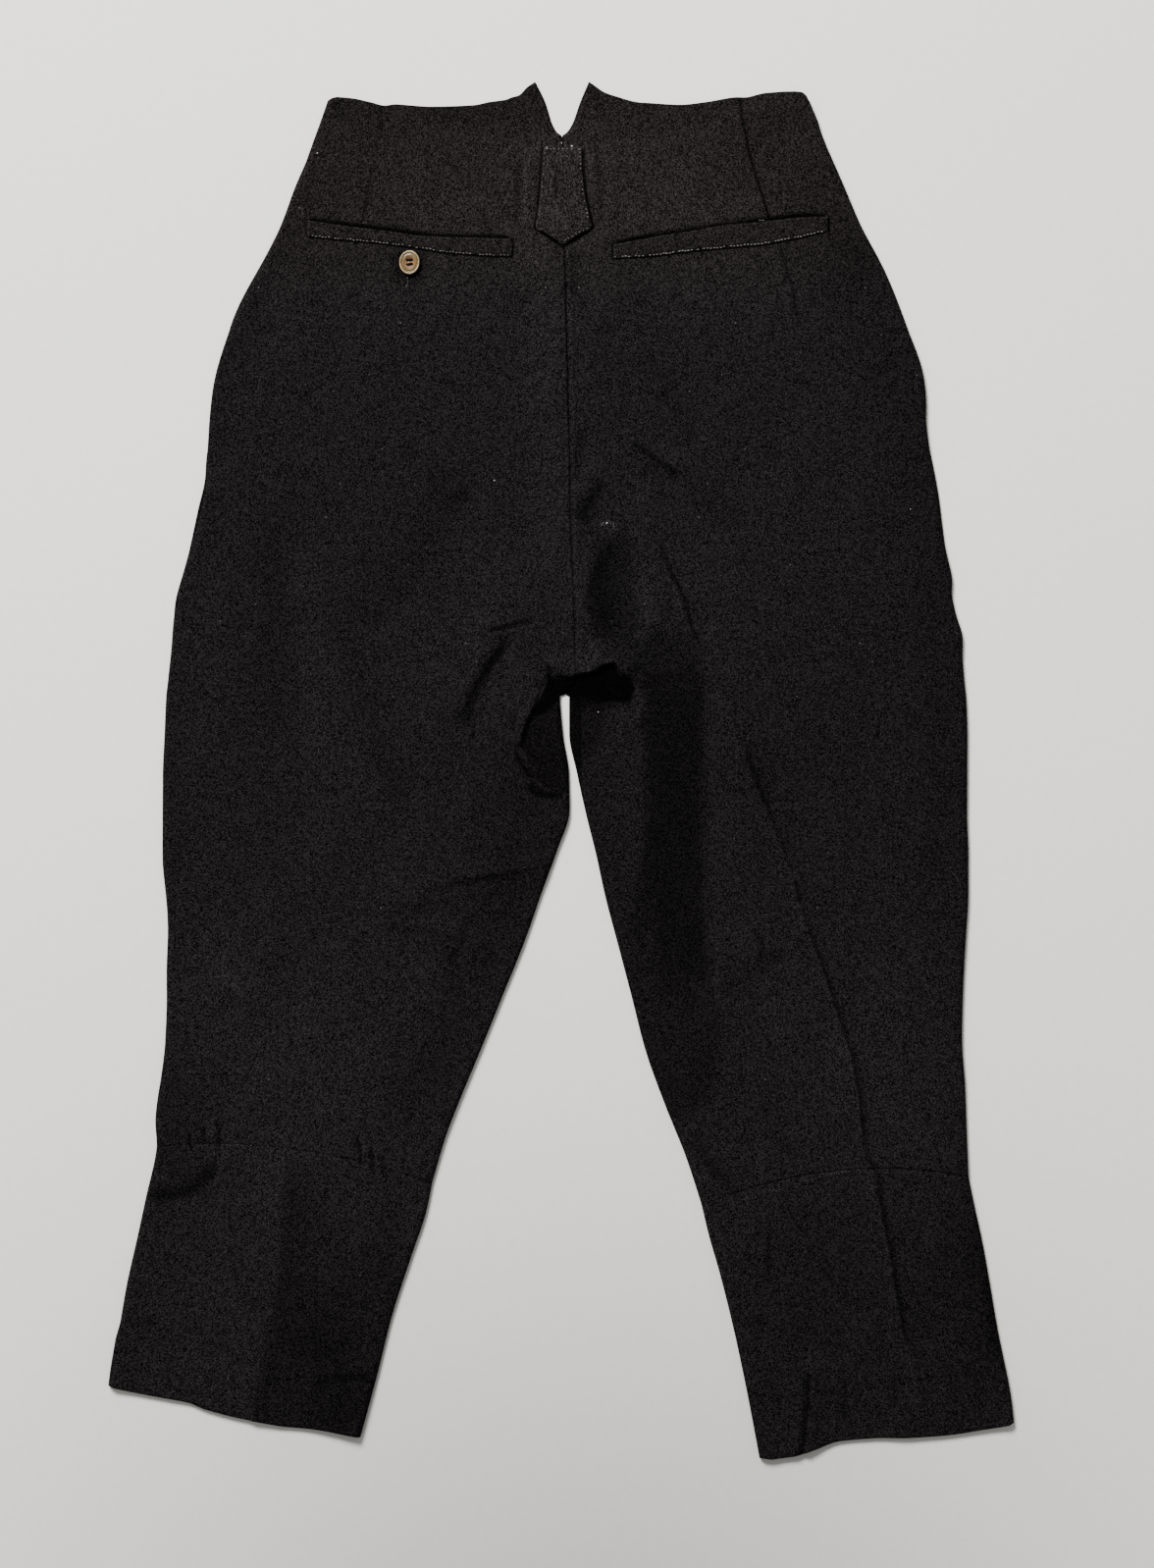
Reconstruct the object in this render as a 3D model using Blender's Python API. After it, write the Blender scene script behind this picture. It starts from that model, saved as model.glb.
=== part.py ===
"""Knee breeches laid flat on a floor with the back upwards, one metre from waist tips to hem.

Metres, +Z up and +Y towards the waist. The origin lies on the floor under the middle of the
garment, so the wearer's left leg is at negative X. Each cut piece is a closed wall of cloth:
the fronts lie flat on the floor, and the backs lie on them, joined along the side and
inside-leg seams, where both walls turn towards each other.
"""

import math
from collections import namedtuple

import bmesh
import bpy
from mathutils import Vector
from mathutils.bvhtree import BVHTree

# Cloth and seams
CLOTH = 0.0013
SEAM_GAP = 0.0003
SEAM_HEIGHT = 0.0025
TURN_REACH = 0.004
TURN_STEPS = 2

# Height of the upper layer above the floor
BACK_TOP = 0.0034
LEAST_BACK_TOP = 0.0030
EDGE_PUFF = 0.0022
EDGE_PUFF_REACH = 0.013
WAVE_HEIGHT = 0.0004

# Crotch, where the centre seam ends and the inside-leg seams begin
CROTCH_TOP, CROTCH_FOOT = 0.080, 0.052

# Where the back runs past the front's waist edge, it comes down to the floor
STEP_DOWN_START, STEP_DOWN_END = 0.004, 0.022

# Concealed strip behind the centre-front opening
UNDERLAP_HALF_WIDTH = 0.018
UNDERLAP_TOP, UNDERLAP_FOOT = 0.412, 0.270
UNDERLAP_COVER = 0.0015
UNDERLAP_EASE_START, UNDERLAP_EASE_END = 0.008, 0.030

# Tip and corner of the waist edge
TIP_SHARE = {"left": 0.15, "right": 0.24}
CORNER_DROP = {"left": 0.002, "right": 0.006}
CORNER_REACH = 0.010

# Spacing of the points
BACK_ROW_PITCH, BACK_COLUMNS = 0.024, 16
FRONT_ROW_PITCH, FRONT_COLUMNS = 0.055, 7
TRIM_PITCH, TAB_COLUMNS = 0.006, 6

# Horn button below the left pocket
BUTTON_X, BUTTON_Y = -0.110, 0.3690
BUTTON_RADIUS, BUTTON_THICK = 0.0083, 0.0034
BUTTON_TURNS = 32
BUTTON_HOLE_RADIUS, BUTTON_HOLE_SPREAD = 0.0009, 0.0024
BUTTON_HOLE_SIDES = 10

BLACK_COTTON = (0.0098, 0.0091, 0.0091, 1.0)
HORN = (0.30, 0.20, 0.105, 1.0)

Section = namedtuple("Section", "outer_x outer_y mid_y inner_x inner_y tip")
Fold = namedtuple("Fold", "rise spread path")
WeltSection = namedtuple("WeltSection", "x upper_y lower_y")
TabSection = namedtuple("TabSection", "y left_x right_x")
Ring = namedtuple("Ring", "radius height")

# Back panels from waist to knee: side seam, middle, and centre seam or inside-leg seam
BACK_LEFT = (
    Section(-0.168, 0.4870, 0.4820, -0.0190, 0.5000, 0.012),
    Section(-0.171, 0.4780, 0.4730, -0.0120, 0.4860, 0.009),
    Section(-0.174, 0.4690, 0.4640, -0.0065, 0.4690, 0.003),
    Section(-0.176, 0.4640, 0.4590, -0.0030, 0.4632, 0.001),
    Section(-0.177, 0.4600, 0.4550, 0.0005, 0.4600, 0.0),
    Section(-0.181, 0.4500, 0.4430, 0.0010, 0.4480, 0.0),
    Section(-0.193, 0.4240, 0.4200, 0.0020, 0.4230, 0.0),
    Section(-0.204, 0.3960, 0.3930, 0.0020, 0.3940, 0.0),
    Section(-0.222, 0.3590, 0.3570, 0.0030, 0.3590, 0.0),
    Section(-0.241, 0.3170, 0.3160, 0.0040, 0.3170, 0.0),
    Section(-0.253, 0.2760, 0.2760, 0.0050, 0.2760, 0.0),
    Section(-0.258, 0.2330, 0.2330, 0.0060, 0.2330, 0.0),
    Section(-0.264, 0.1880, 0.1880, 0.0065, 0.1880, 0.0),
    Section(-0.273, 0.1460, 0.1460, 0.0080, 0.1460, 0.0),
    Section(-0.281, 0.1030, 0.1030, 0.0095, 0.1030, 0.0),
    Section(-0.285, 0.0710, 0.0670, 0.0105, 0.0670, 0.0),
    Section(-0.286, 0.0610, 0.0590, 0.0060, 0.0600, 0.0),
    Section(-0.287, 0.0510, 0.0500, -0.0010, 0.0520, 0.0),
    Section(-0.288, 0.0240, 0.0240, 0.0000, 0.0240, 0.0),
    Section(-0.289, -0.0040, -0.0040, 0.0055, -0.0030, 0.0),
    Section(-0.289, -0.0330, -0.0340, 0.0060, -0.0300, 0.0),
    Section(-0.289, -0.0600, -0.0630, -0.0030, -0.0590, 0.0),
    Section(-0.288, -0.0900, -0.0940, -0.0140, -0.0890, 0.0),
    Section(-0.286, -0.1260, -0.1300, -0.0270, -0.1260, 0.0),
    Section(-0.286, -0.1610, -0.1670, -0.0420, -0.1630, 0.0),
    Section(-0.288, -0.1970, -0.2030, -0.0570, -0.2000, 0.0),
    Section(-0.293, -0.2360, -0.2400, -0.0740, -0.2410, 0.0),
    Section(-0.294, -0.2560, -0.2580, -0.0840, -0.2670, 0.0),
    Section(-0.295, -0.2740, -0.2760, -0.0940, -0.3010, 0.0),
)
BACK_RIGHT = (
    Section(0.179, 0.4890, 0.4830, 0.0200, 0.5000, 0.012),
    Section(0.183, 0.4790, 0.4740, 0.0140, 0.4860, 0.009),
    Section(0.186, 0.4710, 0.4640, 0.0078, 0.4690, 0.003),
    Section(0.187, 0.4660, 0.4600, 0.0040, 0.4632, 0.001),
    Section(0.188, 0.4630, 0.4560, 0.0005, 0.4600, 0.0),
    Section(0.193, 0.4510, 0.4430, 0.0010, 0.4480, 0.0),
    Section(0.205, 0.4240, 0.4200, 0.0020, 0.4230, 0.0),
    Section(0.217, 0.3960, 0.3930, 0.0020, 0.3940, 0.0),
    Section(0.235, 0.3580, 0.3570, 0.0030, 0.3590, 0.0),
    Section(0.252, 0.3170, 0.3160, 0.0040, 0.3170, 0.0),
    Section(0.264, 0.2760, 0.2760, 0.0050, 0.2760, 0.0),
    Section(0.269, 0.2330, 0.2330, 0.0060, 0.2330, 0.0),
    Section(0.276, 0.1880, 0.1880, 0.0065, 0.1880, 0.0),
    Section(0.283, 0.1470, 0.1460, 0.0080, 0.1460, 0.0),
    Section(0.289, 0.1060, 0.1030, 0.0095, 0.1030, 0.0),
    Section(0.292, 0.0710, 0.0670, 0.0105, 0.0670, 0.0),
    Section(0.293, 0.0600, 0.0590, 0.0095, 0.0600, 0.0),
    Section(0.294, 0.0500, 0.0500, 0.0060, 0.0530, 0.0),
    Section(0.295, 0.0240, 0.0240, 0.0062, 0.0260, 0.0),
    Section(0.295, -0.0040, -0.0040, 0.0120, -0.0030, 0.0),
    Section(0.295, -0.0330, -0.0340, 0.0180, -0.0330, 0.0),
    Section(0.296, -0.0610, -0.0630, 0.0250, -0.0610, 0.0),
    Section(0.296, -0.0910, -0.0930, 0.0320, -0.0930, 0.0),
    Section(0.294, -0.1260, -0.1270, 0.0410, -0.1270, 0.0),
    Section(0.292, -0.1610, -0.1630, 0.0510, -0.1650, 0.0),
    Section(0.291, -0.1970, -0.1990, 0.0610, -0.2040, 0.0),
    Section(0.293, -0.2310, -0.2330, 0.0730, -0.2430, 0.0),
    Section(0.294, -0.2650, -0.2660, 0.0890, -0.2830, 0.0),
    Section(0.295, -0.2960, -0.2940, 0.1030, -0.3170, 0.0),
)

# Lower legs from the knee seam to the hem, the same for back and front
LOWER_LEFT = (
    BACK_LEFT[-1],
    Section(-0.298, -0.2960, -0.3020, -0.0980, -0.3210, 0.0),
    Section(-0.306, -0.3340, -0.3400, -0.1100, -0.3570, 0.0),
    Section(-0.316, -0.3780, -0.3870, -0.1230, -0.3970, 0.0),
    Section(-0.323, -0.4200, -0.4330, -0.1340, -0.4410, 0.0),
    Section(-0.328, -0.4490, -0.4700, -0.1460, -0.4860, 0.0),
)
LOWER_RIGHT = (
    BACK_RIGHT[-1],
    Section(0.299, -0.3160, -0.3150, 0.1070, -0.3380, 0.0),
    Section(0.305, -0.3430, -0.3450, 0.1150, -0.3660, 0.0),
    Section(0.313, -0.3840, -0.3900, 0.1250, -0.4060, 0.0),
    Section(0.321, -0.4310, -0.4380, 0.1340, -0.4480, 0.0),
    Section(0.328, -0.4760, -0.4870, 0.1460, -0.5000, 0.0),
)

# Fronts from their lower waist edge to the crotch; below it they match the backs
CROTCH_ROW = 15
FRONT_LEFT = (
    Section(-0.168, 0.4870, 0.4500, 0.0010, 0.4330, 0.0),
    Section(-0.181, 0.4500, 0.4220, 0.0015, 0.4060, 0.0),
    Section(-0.204, 0.3960, 0.3790, 0.0020, 0.3670, 0.0),
    Section(-0.241, 0.3170, 0.3070, 0.0040, 0.2980, 0.0),
    Section(-0.258, 0.2330, 0.2280, 0.0060, 0.2230, 0.0),
    Section(-0.273, 0.1460, 0.1430, 0.0080, 0.1390, 0.0),
) + BACK_LEFT[CROTCH_ROW:]
FRONT_RIGHT = (
    Section(0.179, 0.4890, 0.4500, 0.0010, 0.4330, 0.0),
    Section(0.193, 0.4510, 0.4220, 0.0015, 0.4060, 0.0),
    Section(0.217, 0.3960, 0.3790, 0.0020, 0.3670, 0.0),
    Section(0.252, 0.3170, 0.3070, 0.0040, 0.2980, 0.0),
    Section(0.269, 0.2330, 0.2280, 0.0060, 0.2230, 0.0),
    Section(0.283, 0.1470, 0.1430, 0.0080, 0.1390, 0.0),
) + BACK_RIGHT[CROTCH_ROW:]

# Folds of the upper layer: a rise above its level, or a trough where the rise is negative
FOLDS = {
    "seat_swell": Fold(0.0030, 0.040, ((-0.070, 0.120), (0.020, 0.115), (0.090, 0.120))),
    "seat_edge": Fold(
        0.0036, 0.013,
        ((-0.045, 0.094), (-0.009, 0.084), (0.022, 0.082), (0.070, 0.072)),
    ),
    "crotch_hollow": Fold(
        -0.0036, 0.010,
        ((-0.028, 0.062), (0.000, 0.060), (0.045, 0.057), (0.070, 0.050)),
    ),
    "left_leg_roll": Fold(
        0.0030, 0.010,
        ((-0.006, 0.072), (-0.022, 0.050), (-0.028, 0.026), (-0.019, -0.010)),
    ),
    "left_leg_inlet": Fold(-0.0018, 0.009, ((0.002, 0.056), (-0.008, 0.020), (-0.004, -0.012))),
    "right_hollow": Fold(-0.0028, 0.013, ((0.022, 0.190), (0.049, 0.139), (0.043, 0.090))),
    "right_hollow_lip": Fold(0.0020, 0.010, ((0.011, 0.210), (0.020, 0.131), (0.024, 0.088))),
    "right_outer_lip": Fold(0.0024, 0.011, ((0.050, 0.205), (0.072, 0.146), (0.064, 0.085))),
    "right_arc": Fold(
        0.0016, 0.010,
        ((0.040, 0.240), (0.069, 0.225), (0.088, 0.216), (0.130, 0.178)),
    ),
    "right_crease": Fold(
        0.0018, 0.009,
        ((0.072, 0.170), (0.100, 0.092), (0.145, -0.020), (0.171, -0.086), (0.202, -0.176), (0.222, -0.275)),
    ),
    "right_valley": Fold(-0.0012, 0.026, ((0.080, 0.075), (0.084, -0.040), (0.104, -0.150))),
    "right_hip_swell": Fold(0.0014, 0.030, ((0.200, 0.345), (0.225, 0.230), (0.212, 0.090))),
    "right_thigh_swell": Fold(0.0012, 0.028, ((0.240, 0.020), (0.252, -0.090), (0.254, -0.190))),
    "right_shin_crease": Fold(
        0.0015, 0.008,
        ((0.226, -0.275), (0.233, -0.326), (0.241, -0.366), (0.264, -0.470)),
    ),
    "right_hem_fold": Fold(0.0024, 0.010, ((0.184, -0.425), (0.176, -0.520))),
    "left_seat_trough": Fold(-0.0014, 0.010, ((-0.034, 0.100), (-0.051, 0.067), (-0.070, 0.032))),
    "left_seat_roll": Fold(0.0020, 0.012, ((-0.052, 0.112), (-0.067, 0.074), (-0.086, 0.034))),
    "left_hip_trough": Fold(-0.0008, 0.030, ((-0.165, 0.215), (-0.123, 0.153), (-0.080, 0.095))),
    "left_hip_swell": Fold(0.0014, 0.030, ((-0.190, 0.340), (-0.215, 0.230), (-0.200, 0.090))),
    "left_thigh_swell": Fold(0.0012, 0.030, ((-0.225, 0.020), (-0.238, -0.080), (-0.240, -0.190))),
    "left_inner_fold": Fold(0.0024, 0.010, ((-0.135, -0.101), (-0.070, -0.086), (0.000, -0.070))),
    "left_lower_fold": Fold(0.0013, 0.010, ((-0.112, -0.121), (-0.070, -0.127), (-0.026, -0.129))),
    "left_shin_crease": Fold(
        0.0015, 0.008,
        ((-0.203, -0.265), (-0.204, -0.344), (-0.209, -0.381), (-0.222, -0.470)),
    ),
    "left_knee_dent": Fold(-0.0014, 0.012, ((-0.300, -0.284), (-0.275, -0.303), (-0.246, -0.322))),
    "left_hem_lift": Fold(0.0018, 0.020, ((-0.180, -0.430), (-0.165, -0.460), (-0.150, -0.520))),
}
FOLD_FADE = 0.22

# Pocket welts along their mouths, from left to right
LEFT_WELT = (
    WeltSection(-0.1840, 0.3985, 0.3870),
    WeltSection(-0.1590, 0.3950, 0.3845),
    WeltSection(-0.1250, 0.3908, 0.3812),
    WeltSection(-0.1050, 0.3878, 0.3785),
    WeltSection(-0.0850, 0.3865, 0.3752),
    WeltSection(-0.0600, 0.3860, 0.3733),
    WeltSection(-0.0360, 0.3853, 0.3722),
)
RIGHT_WELT = (
    WeltSection(0.0380, 0.3812, 0.3710),
    WeltSection(0.0660, 0.3863, 0.3726),
    WeltSection(0.0940, 0.3908, 0.3762),
    WeltSection(0.1190, 0.3953, 0.3785),
    WeltSection(0.1440, 0.3975, 0.3808),
    WeltSection(0.1660, 0.4000, 0.3845),
    WeltSection(0.1810, 0.4013, 0.3878),
    WeltSection(0.1935, 0.4013, 0.3910),
)

# Pointed patch below the notch of the waist
TAB = (
    TabSection(0.4520, -0.0125, 0.0150),
    TabSection(0.4430, -0.0135, 0.0150),
    TabSection(0.4280, -0.0145, 0.0160),
    TabSection(0.4150, -0.0155, 0.0175),
    TabSection(0.4040, -0.0170, 0.0200),
    TabSection(0.3940, -0.0185, 0.0222),
    TabSection(0.3900, -0.0125, 0.0160),
    TabSection(0.3860, -0.0062, 0.0090),
    TabSection(0.3815, 0.0000, 0.0022),
)

# Half outline of the button, from the middle of its face to the middle of its back
BUTTON_PROFILE = (
    Ring(0.0045, 0.0016),
    Ring(0.0053, 0.0019),
    Ring(0.0061, 0.0030),
    Ring(0.0070, BUTTON_THICK),
    Ring(0.0079, 0.0031),
    Ring(BUTTON_RADIUS, 0.0022),
    Ring(0.0078, 0.0009),
    Ring(0.0062, 0.0),
)


def mix(start, end, share):
    return start + (end - start) * share


def smoothstep(start, end, value):
    share = min(1.0, max(0.0, (value - start) / (end - start)))
    return share * share * (3 - 2 * share)


def eased(before, start, end, after, share):
    """A cubic from start to end that keeps between them, and leaves and arrives as its neighbours do."""

    def slope(first, second):
        return 0.0 if first * second <= 0 else 2 * first * second / (first + second)

    rise = end - start
    leave, arrive = slope(start - before, rise), slope(rise, after - end)
    curve = 3 * rise - 2 * leave - arrive + share * (leave + arrive - 2 * rise)
    return start + share * (leave + share * curve)


def section_at(sections, place):
    """The section at a place along the rows, where whole numbers are the rows themselves."""
    last = len(sections) - 1
    row = min(int(place), last - 1)
    rows = (
        sections[max(row - 1, 0)],
        sections[row],
        sections[row + 1],
        sections[min(row + 2, last)],
    )
    return type(sections[0])(*(eased(*values, place - row) for values in zip(*rows)))


def row_height(section, share, tip_share=1.0):
    """Y along a section: an even bow through its middle, and the rise of its tip."""
    straight = mix(section.outer_y, section.inner_y - section.tip, share)
    middle = mix(section.outer_y, section.inner_y - section.tip, 0.5)
    tip = max(0.0, (share - 1 + tip_share) / tip_share) ** 1.5
    return straight + 4 * share * (1 - share) * (section.mid_y - middle) + section.tip * tip


def places_along(sections, pitch):
    """Places for the rows of points: each section, and even steps between sections further apart."""
    places = [0.0]
    for row, (start, end) in enumerate(zip(sections, sections[1:])):
        steps = max(1, math.ceil((start.mid_y - end.mid_y) / pitch))
        places += [row + (step + 1) / steps for step in range(steps)]
    return places


def fold_rise(fold, x, y):
    """A fold's rise at a point: a soft ridge along its path, fading at both ends."""
    lengths = [math.dist(a, b) for a, b in zip(fold.path, fold.path[1:])]
    nearest, share, passed = math.inf, 0.0, 0.0
    for (start_x, start_y), (end_x, end_y), length in zip(fold.path, fold.path[1:], lengths):
        along = ((x - start_x) * (end_x - start_x) + (y - start_y) * (end_y - start_y)) / length**2
        along = min(1.0, max(0.0, along))
        apart = math.hypot(x - mix(start_x, end_x, along), y - mix(start_y, end_y, along))
        if apart < nearest:
            nearest, share = apart, (passed + along * length) / sum(lengths)
        passed += length
    fade = smoothstep(0, FOLD_FADE, share) * smoothstep(0, FOLD_FADE, 1 - share)
    return fold.rise * fade * math.exp(-((nearest / fold.spread) ** 2))


def underlap_cover(x, y):
    """How much the back rises over the strip behind the centre-front opening."""
    beside = abs(x) - UNDERLAP_HALF_WIDTH
    below = UNDERLAP_FOOT - y
    apart = max(beside, below, 0.0)
    return UNDERLAP_COVER * (1 - smoothstep(UNDERLAP_EASE_START, UNDERLAP_EASE_END, apart))


def past_front_waist(x, y):
    """How far a point lies beyond the front's waist edge, towards the back's own waist."""
    front = FRONT_LEFT[0] if x < FRONT_LEFT[0].inner_x else FRONT_RIGHT[0]
    share = (x - front.outer_x) / (front.inner_x - front.outer_x)
    return y - row_height(front, min(1.0, max(0.0, share)))


def back_top(x, y, to_seam):
    """Height of the upper layer's outer surface above the floor."""
    waves = math.sin(47 * x + 1.3) * math.cos(39 * y + 0.4) + 0.7 * math.sin(90 * x - 61 * y)
    level = BACK_TOP + WAVE_HEIGHT * waves
    level += sum(fold_rise(fold, x, y) for fold in FOLDS.values())
    level = max(level, LEAST_BACK_TOP) + underlap_cover(x, y)
    level += EDGE_PUFF * math.exp(-((to_seam / EDGE_PUFF_REACH) ** 2))
    on_floor = smoothstep(STEP_DOWN_START, STEP_DOWN_END, past_front_waist(x, y))
    return mix(level, CLOTH, on_floor)


def row_of_points(section, side, layer, first_row, columns, trim):
    """Outer and inner points of one row, from the side seam to the centre or inside-leg seam."""
    reach = abs(section.inner_x - section.outer_x)
    outward = math.copysign(1, section.outer_x - section.inner_x)
    inseam = 1 - smoothstep(CROTCH_FOOT, CROTCH_TOP, section.inner_y)
    stops = []
    for step in range(TURN_STEPS):
        angle = math.pi / 2 * (1 - step / TURN_STEPS)
        stops.append((TURN_REACH * (1 - math.sin(angle)), angle, outward))
    full = math.pi / 2 * inseam
    inner_reach = TURN_REACH * (math.sin(full) + 1 - inseam)
    for column in range(columns + 1):
        stops.append((mix(TURN_REACH, reach - inner_reach, column / columns), 0.0, outward))
    for step in range(1, TURN_STEPS + 1):
        angle = full * step / TURN_STEPS
        left = TURN_REACH * (math.sin(full) - math.sin(angle) + (1 - inseam) * (1 - step / TURN_STEPS))
        stops.append((reach - left, angle, -outward))
    skin, lining = [], []
    for offset, angle, turn in stops:
        share = offset / reach
        x = section.outer_x - outward * offset
        y = row_height(section, share, TIP_SHARE[side]) + trim
        if first_row and layer == "back":
            y -= CORNER_DROP[side] * max(0.0, 1 - offset / CORNER_REACH) ** 2
        up = 1 if layer == "back" else -1
        flat = back_top(x, y, min(offset, mix(1.0, reach - offset, inseam))) if up > 0 else 0.0
        seam = SEAM_HEIGHT + up * SEAM_GAP / 2
        z = mix(flat, seam, 1 - math.cos(angle))
        skin.append(Vector((x, y, z)))
        lining.append(Vector((x - turn * CLOTH * math.sin(angle), y, z - up * CLOTH * math.cos(angle))))
    return skin, lining


def walled(skin, lining):
    """A closed mesh between two grids of points, with rims along their four edges."""
    mesh = bmesh.new()
    outer = [[mesh.verts.new(point) for point in row] for row in skin]
    inner = [[mesh.verts.new(point) for point in row] for row in lining]
    last_row, last_column = len(skin) - 1, len(skin[0]) - 1
    for row in range(last_row):
        for column in range(last_column):
            corners = ((row, column), (row, column + 1), (row + 1, column + 1), (row + 1, column))
            mesh.faces.new([outer[i][j] for i, j in corners])
            mesh.faces.new([inner[i][j] for i, j in reversed(corners)])
    rim = [(0, j) for j in range(last_column)]
    rim += [(i, last_column) for i in range(last_row)]
    rim += [(last_row, j) for j in range(last_column, 0, -1)]
    rim += [(i, 0) for i in range(last_row, 0, -1)]
    for (i, j), (k, m) in zip(rim, rim[1:] + rim[:1]):
        mesh.faces.new((outer[k][m], outer[i][j], inner[i][j], inner[k][m]))
    bmesh.ops.recalc_face_normals(mesh, faces=mesh.faces)
    return mesh


def named_object(name, mesh, colour, roughness):
    """The mesh as an object of its own name, smooth, with a material of its own."""
    data = bpy.data.meshes.new(name)
    mesh.to_mesh(data)
    mesh.free()
    data.shade_smooth()
    data.set_sharp_from_angle(angle=math.radians(40))
    finish = bpy.data.materials.new(name)
    finish.use_nodes = True
    shader = finish.node_tree.nodes["Principled BSDF"]
    shader.inputs["Base Color"].default_value = colour
    shader.inputs["Roughness"].default_value = roughness
    shader.inputs["Metallic"].default_value = 0.0
    data.materials.append(finish)
    made = bpy.data.objects.new(name, data)
    bpy.context.scene.collection.objects.link(made)
    return made


def panel(name, sections, side, layer):
    """One cut piece of cloth, trimmed by half the seam gap at its centre, knee and hem edges."""
    pitch, columns = (
        (BACK_ROW_PITCH, BACK_COLUMNS) if layer == "back" else (FRONT_ROW_PITCH, FRONT_COLUMNS)
    )
    away = math.copysign(SEAM_GAP / 2, sections[0].outer_x)
    places = places_along(sections, pitch)
    skin, lining = [], []
    for place in places:
        section = section_at(sections, place)
        section = section._replace(inner_x=section.inner_x + away)
        trim = 0.0
        if sections[-1] in (BACK_LEFT[-1], BACK_RIGHT[-1]) and place == places[-1]:
            trim = SEAM_GAP / 2
        if sections[0] in (BACK_LEFT[-1], BACK_RIGHT[-1]) and place == 0:
            trim = -SEAM_GAP / 2
        top_edge = place == 0 and section.tip > 0
        outer, inner = row_of_points(section, side, layer, top_edge, columns, trim)
        skin.append(outer)
        lining.append(inner)
    return named_object(name, walled(skin, lining), BLACK_COTTON, 0.92)


def strip(name, rows):
    """A flat strip between two heights, from rows of (x, y, lower z, upper z)."""
    skin = [[Vector((x, y, high)) for x, y, _, high in row] for row in rows]
    lining = [[Vector((x, y, low)) for x, y, low, _ in row] for row in rows]
    return named_object(name, walled(skin, lining), BLACK_COTTON, 0.92)


def fly_underlap():
    """The strip that backs the centre-front opening, lying on the inside of the two fronts."""
    low = CLOTH + SEAM_GAP
    return strip(
        "fly_underlap",
        [
            [(x, y, low, low + CLOTH) for x in (-UNDERLAP_HALF_WIDTH, 0.0, UNDERLAP_HALF_WIDTH)]
            for y in (UNDERLAP_TOP, mix(UNDERLAP_TOP, UNDERLAP_FOOT, 0.5), UNDERLAP_FOOT)
        ],
    )


def surface_of(panels):
    """A function that gives the height of the panels' upper surface at a point."""
    graph = bpy.context.evaluated_depsgraph_get()
    trees = [BVHTree.FromObject(each, graph) for each in panels]

    def height(x, y):
        starts = [Vector((x + beside, y, 1.0)) for beside in (-SEAM_GAP, 0.0, SEAM_GAP)]
        found = [tree.ray_cast(start, Vector((0, 0, -1)))[0] for tree in trees for start in starts]
        return max(hit.z for hit in found if hit)

    return height


def lying_on(name, height, rows):
    """A strip laid on the panels: rows of (x, y) points, moved out by the seam gap."""
    raised = []
    for row in rows:
        points = [(x, y, height(x, y) + SEAM_GAP) for x, y in row]
        raised.append([(x, y, low, low + CLOTH) for x, y, low in points])
    return strip(name, raised)


def steps_between(sections, across):
    """Places along a table of sections whose spacing is at most TRIM_PITCH."""
    places = [0.0]
    for row, (start, end) in enumerate(zip(sections, sections[1:])):
        steps = math.ceil(abs(across(end) - across(start)) / TRIM_PITCH)
        places += [row + (step + 1) / steps for step in range(steps)]
    return places


def pocket_welt(name, sections, height):
    """The welt of a pocket, three points wide between its mouth and its lower edge."""
    rows = []
    for place in steps_between(sections, lambda section: section.x):
        section = section_at(sections, place)
        shares = (0.0, 0.5, 1.0)
        rows.append([(section.x, mix(section.upper_y, section.lower_y, share)) for share in shares])
    return lying_on(name, height, rows)


def centre_back_tab(height):
    """The pointed patch that strengthens the foot of the notch."""
    rows = []
    for place in steps_between(TAB, lambda section: section.y):
        section = section_at(TAB, place)
        shares = [step / TAB_COLUMNS for step in range(TAB_COLUMNS + 1)]
        rows.append([(mix(section.left_x, section.right_x, share), section.y) for share in shares])
    return lying_on("centre_back_tab", height, rows)


def button_holes():
    """Four round cutters through the button, in a square whose corners are the spread from its middle."""
    holes = []
    for turn in range(4):
        angle = math.radians(45 + 90 * turn)
        mesh = bmesh.new()
        bmesh.ops.create_cone(
            mesh, cap_ends=True, segments=BUTTON_HOLE_SIDES,
            radius1=BUTTON_HOLE_RADIUS, radius2=BUTTON_HOLE_RADIUS, depth=4 * BUTTON_THICK,
        )
        hole = named_object(f"button_hole_{turn + 1}", mesh, HORN, 0.5)
        hole.location = (BUTTON_HOLE_SPREAD * math.cos(angle), BUTTON_HOLE_SPREAD * math.sin(angle), 0)
        hole.hide_render = True
        hole.display_type = "WIRE"
        holes.append(hole)
    return holes


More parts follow.
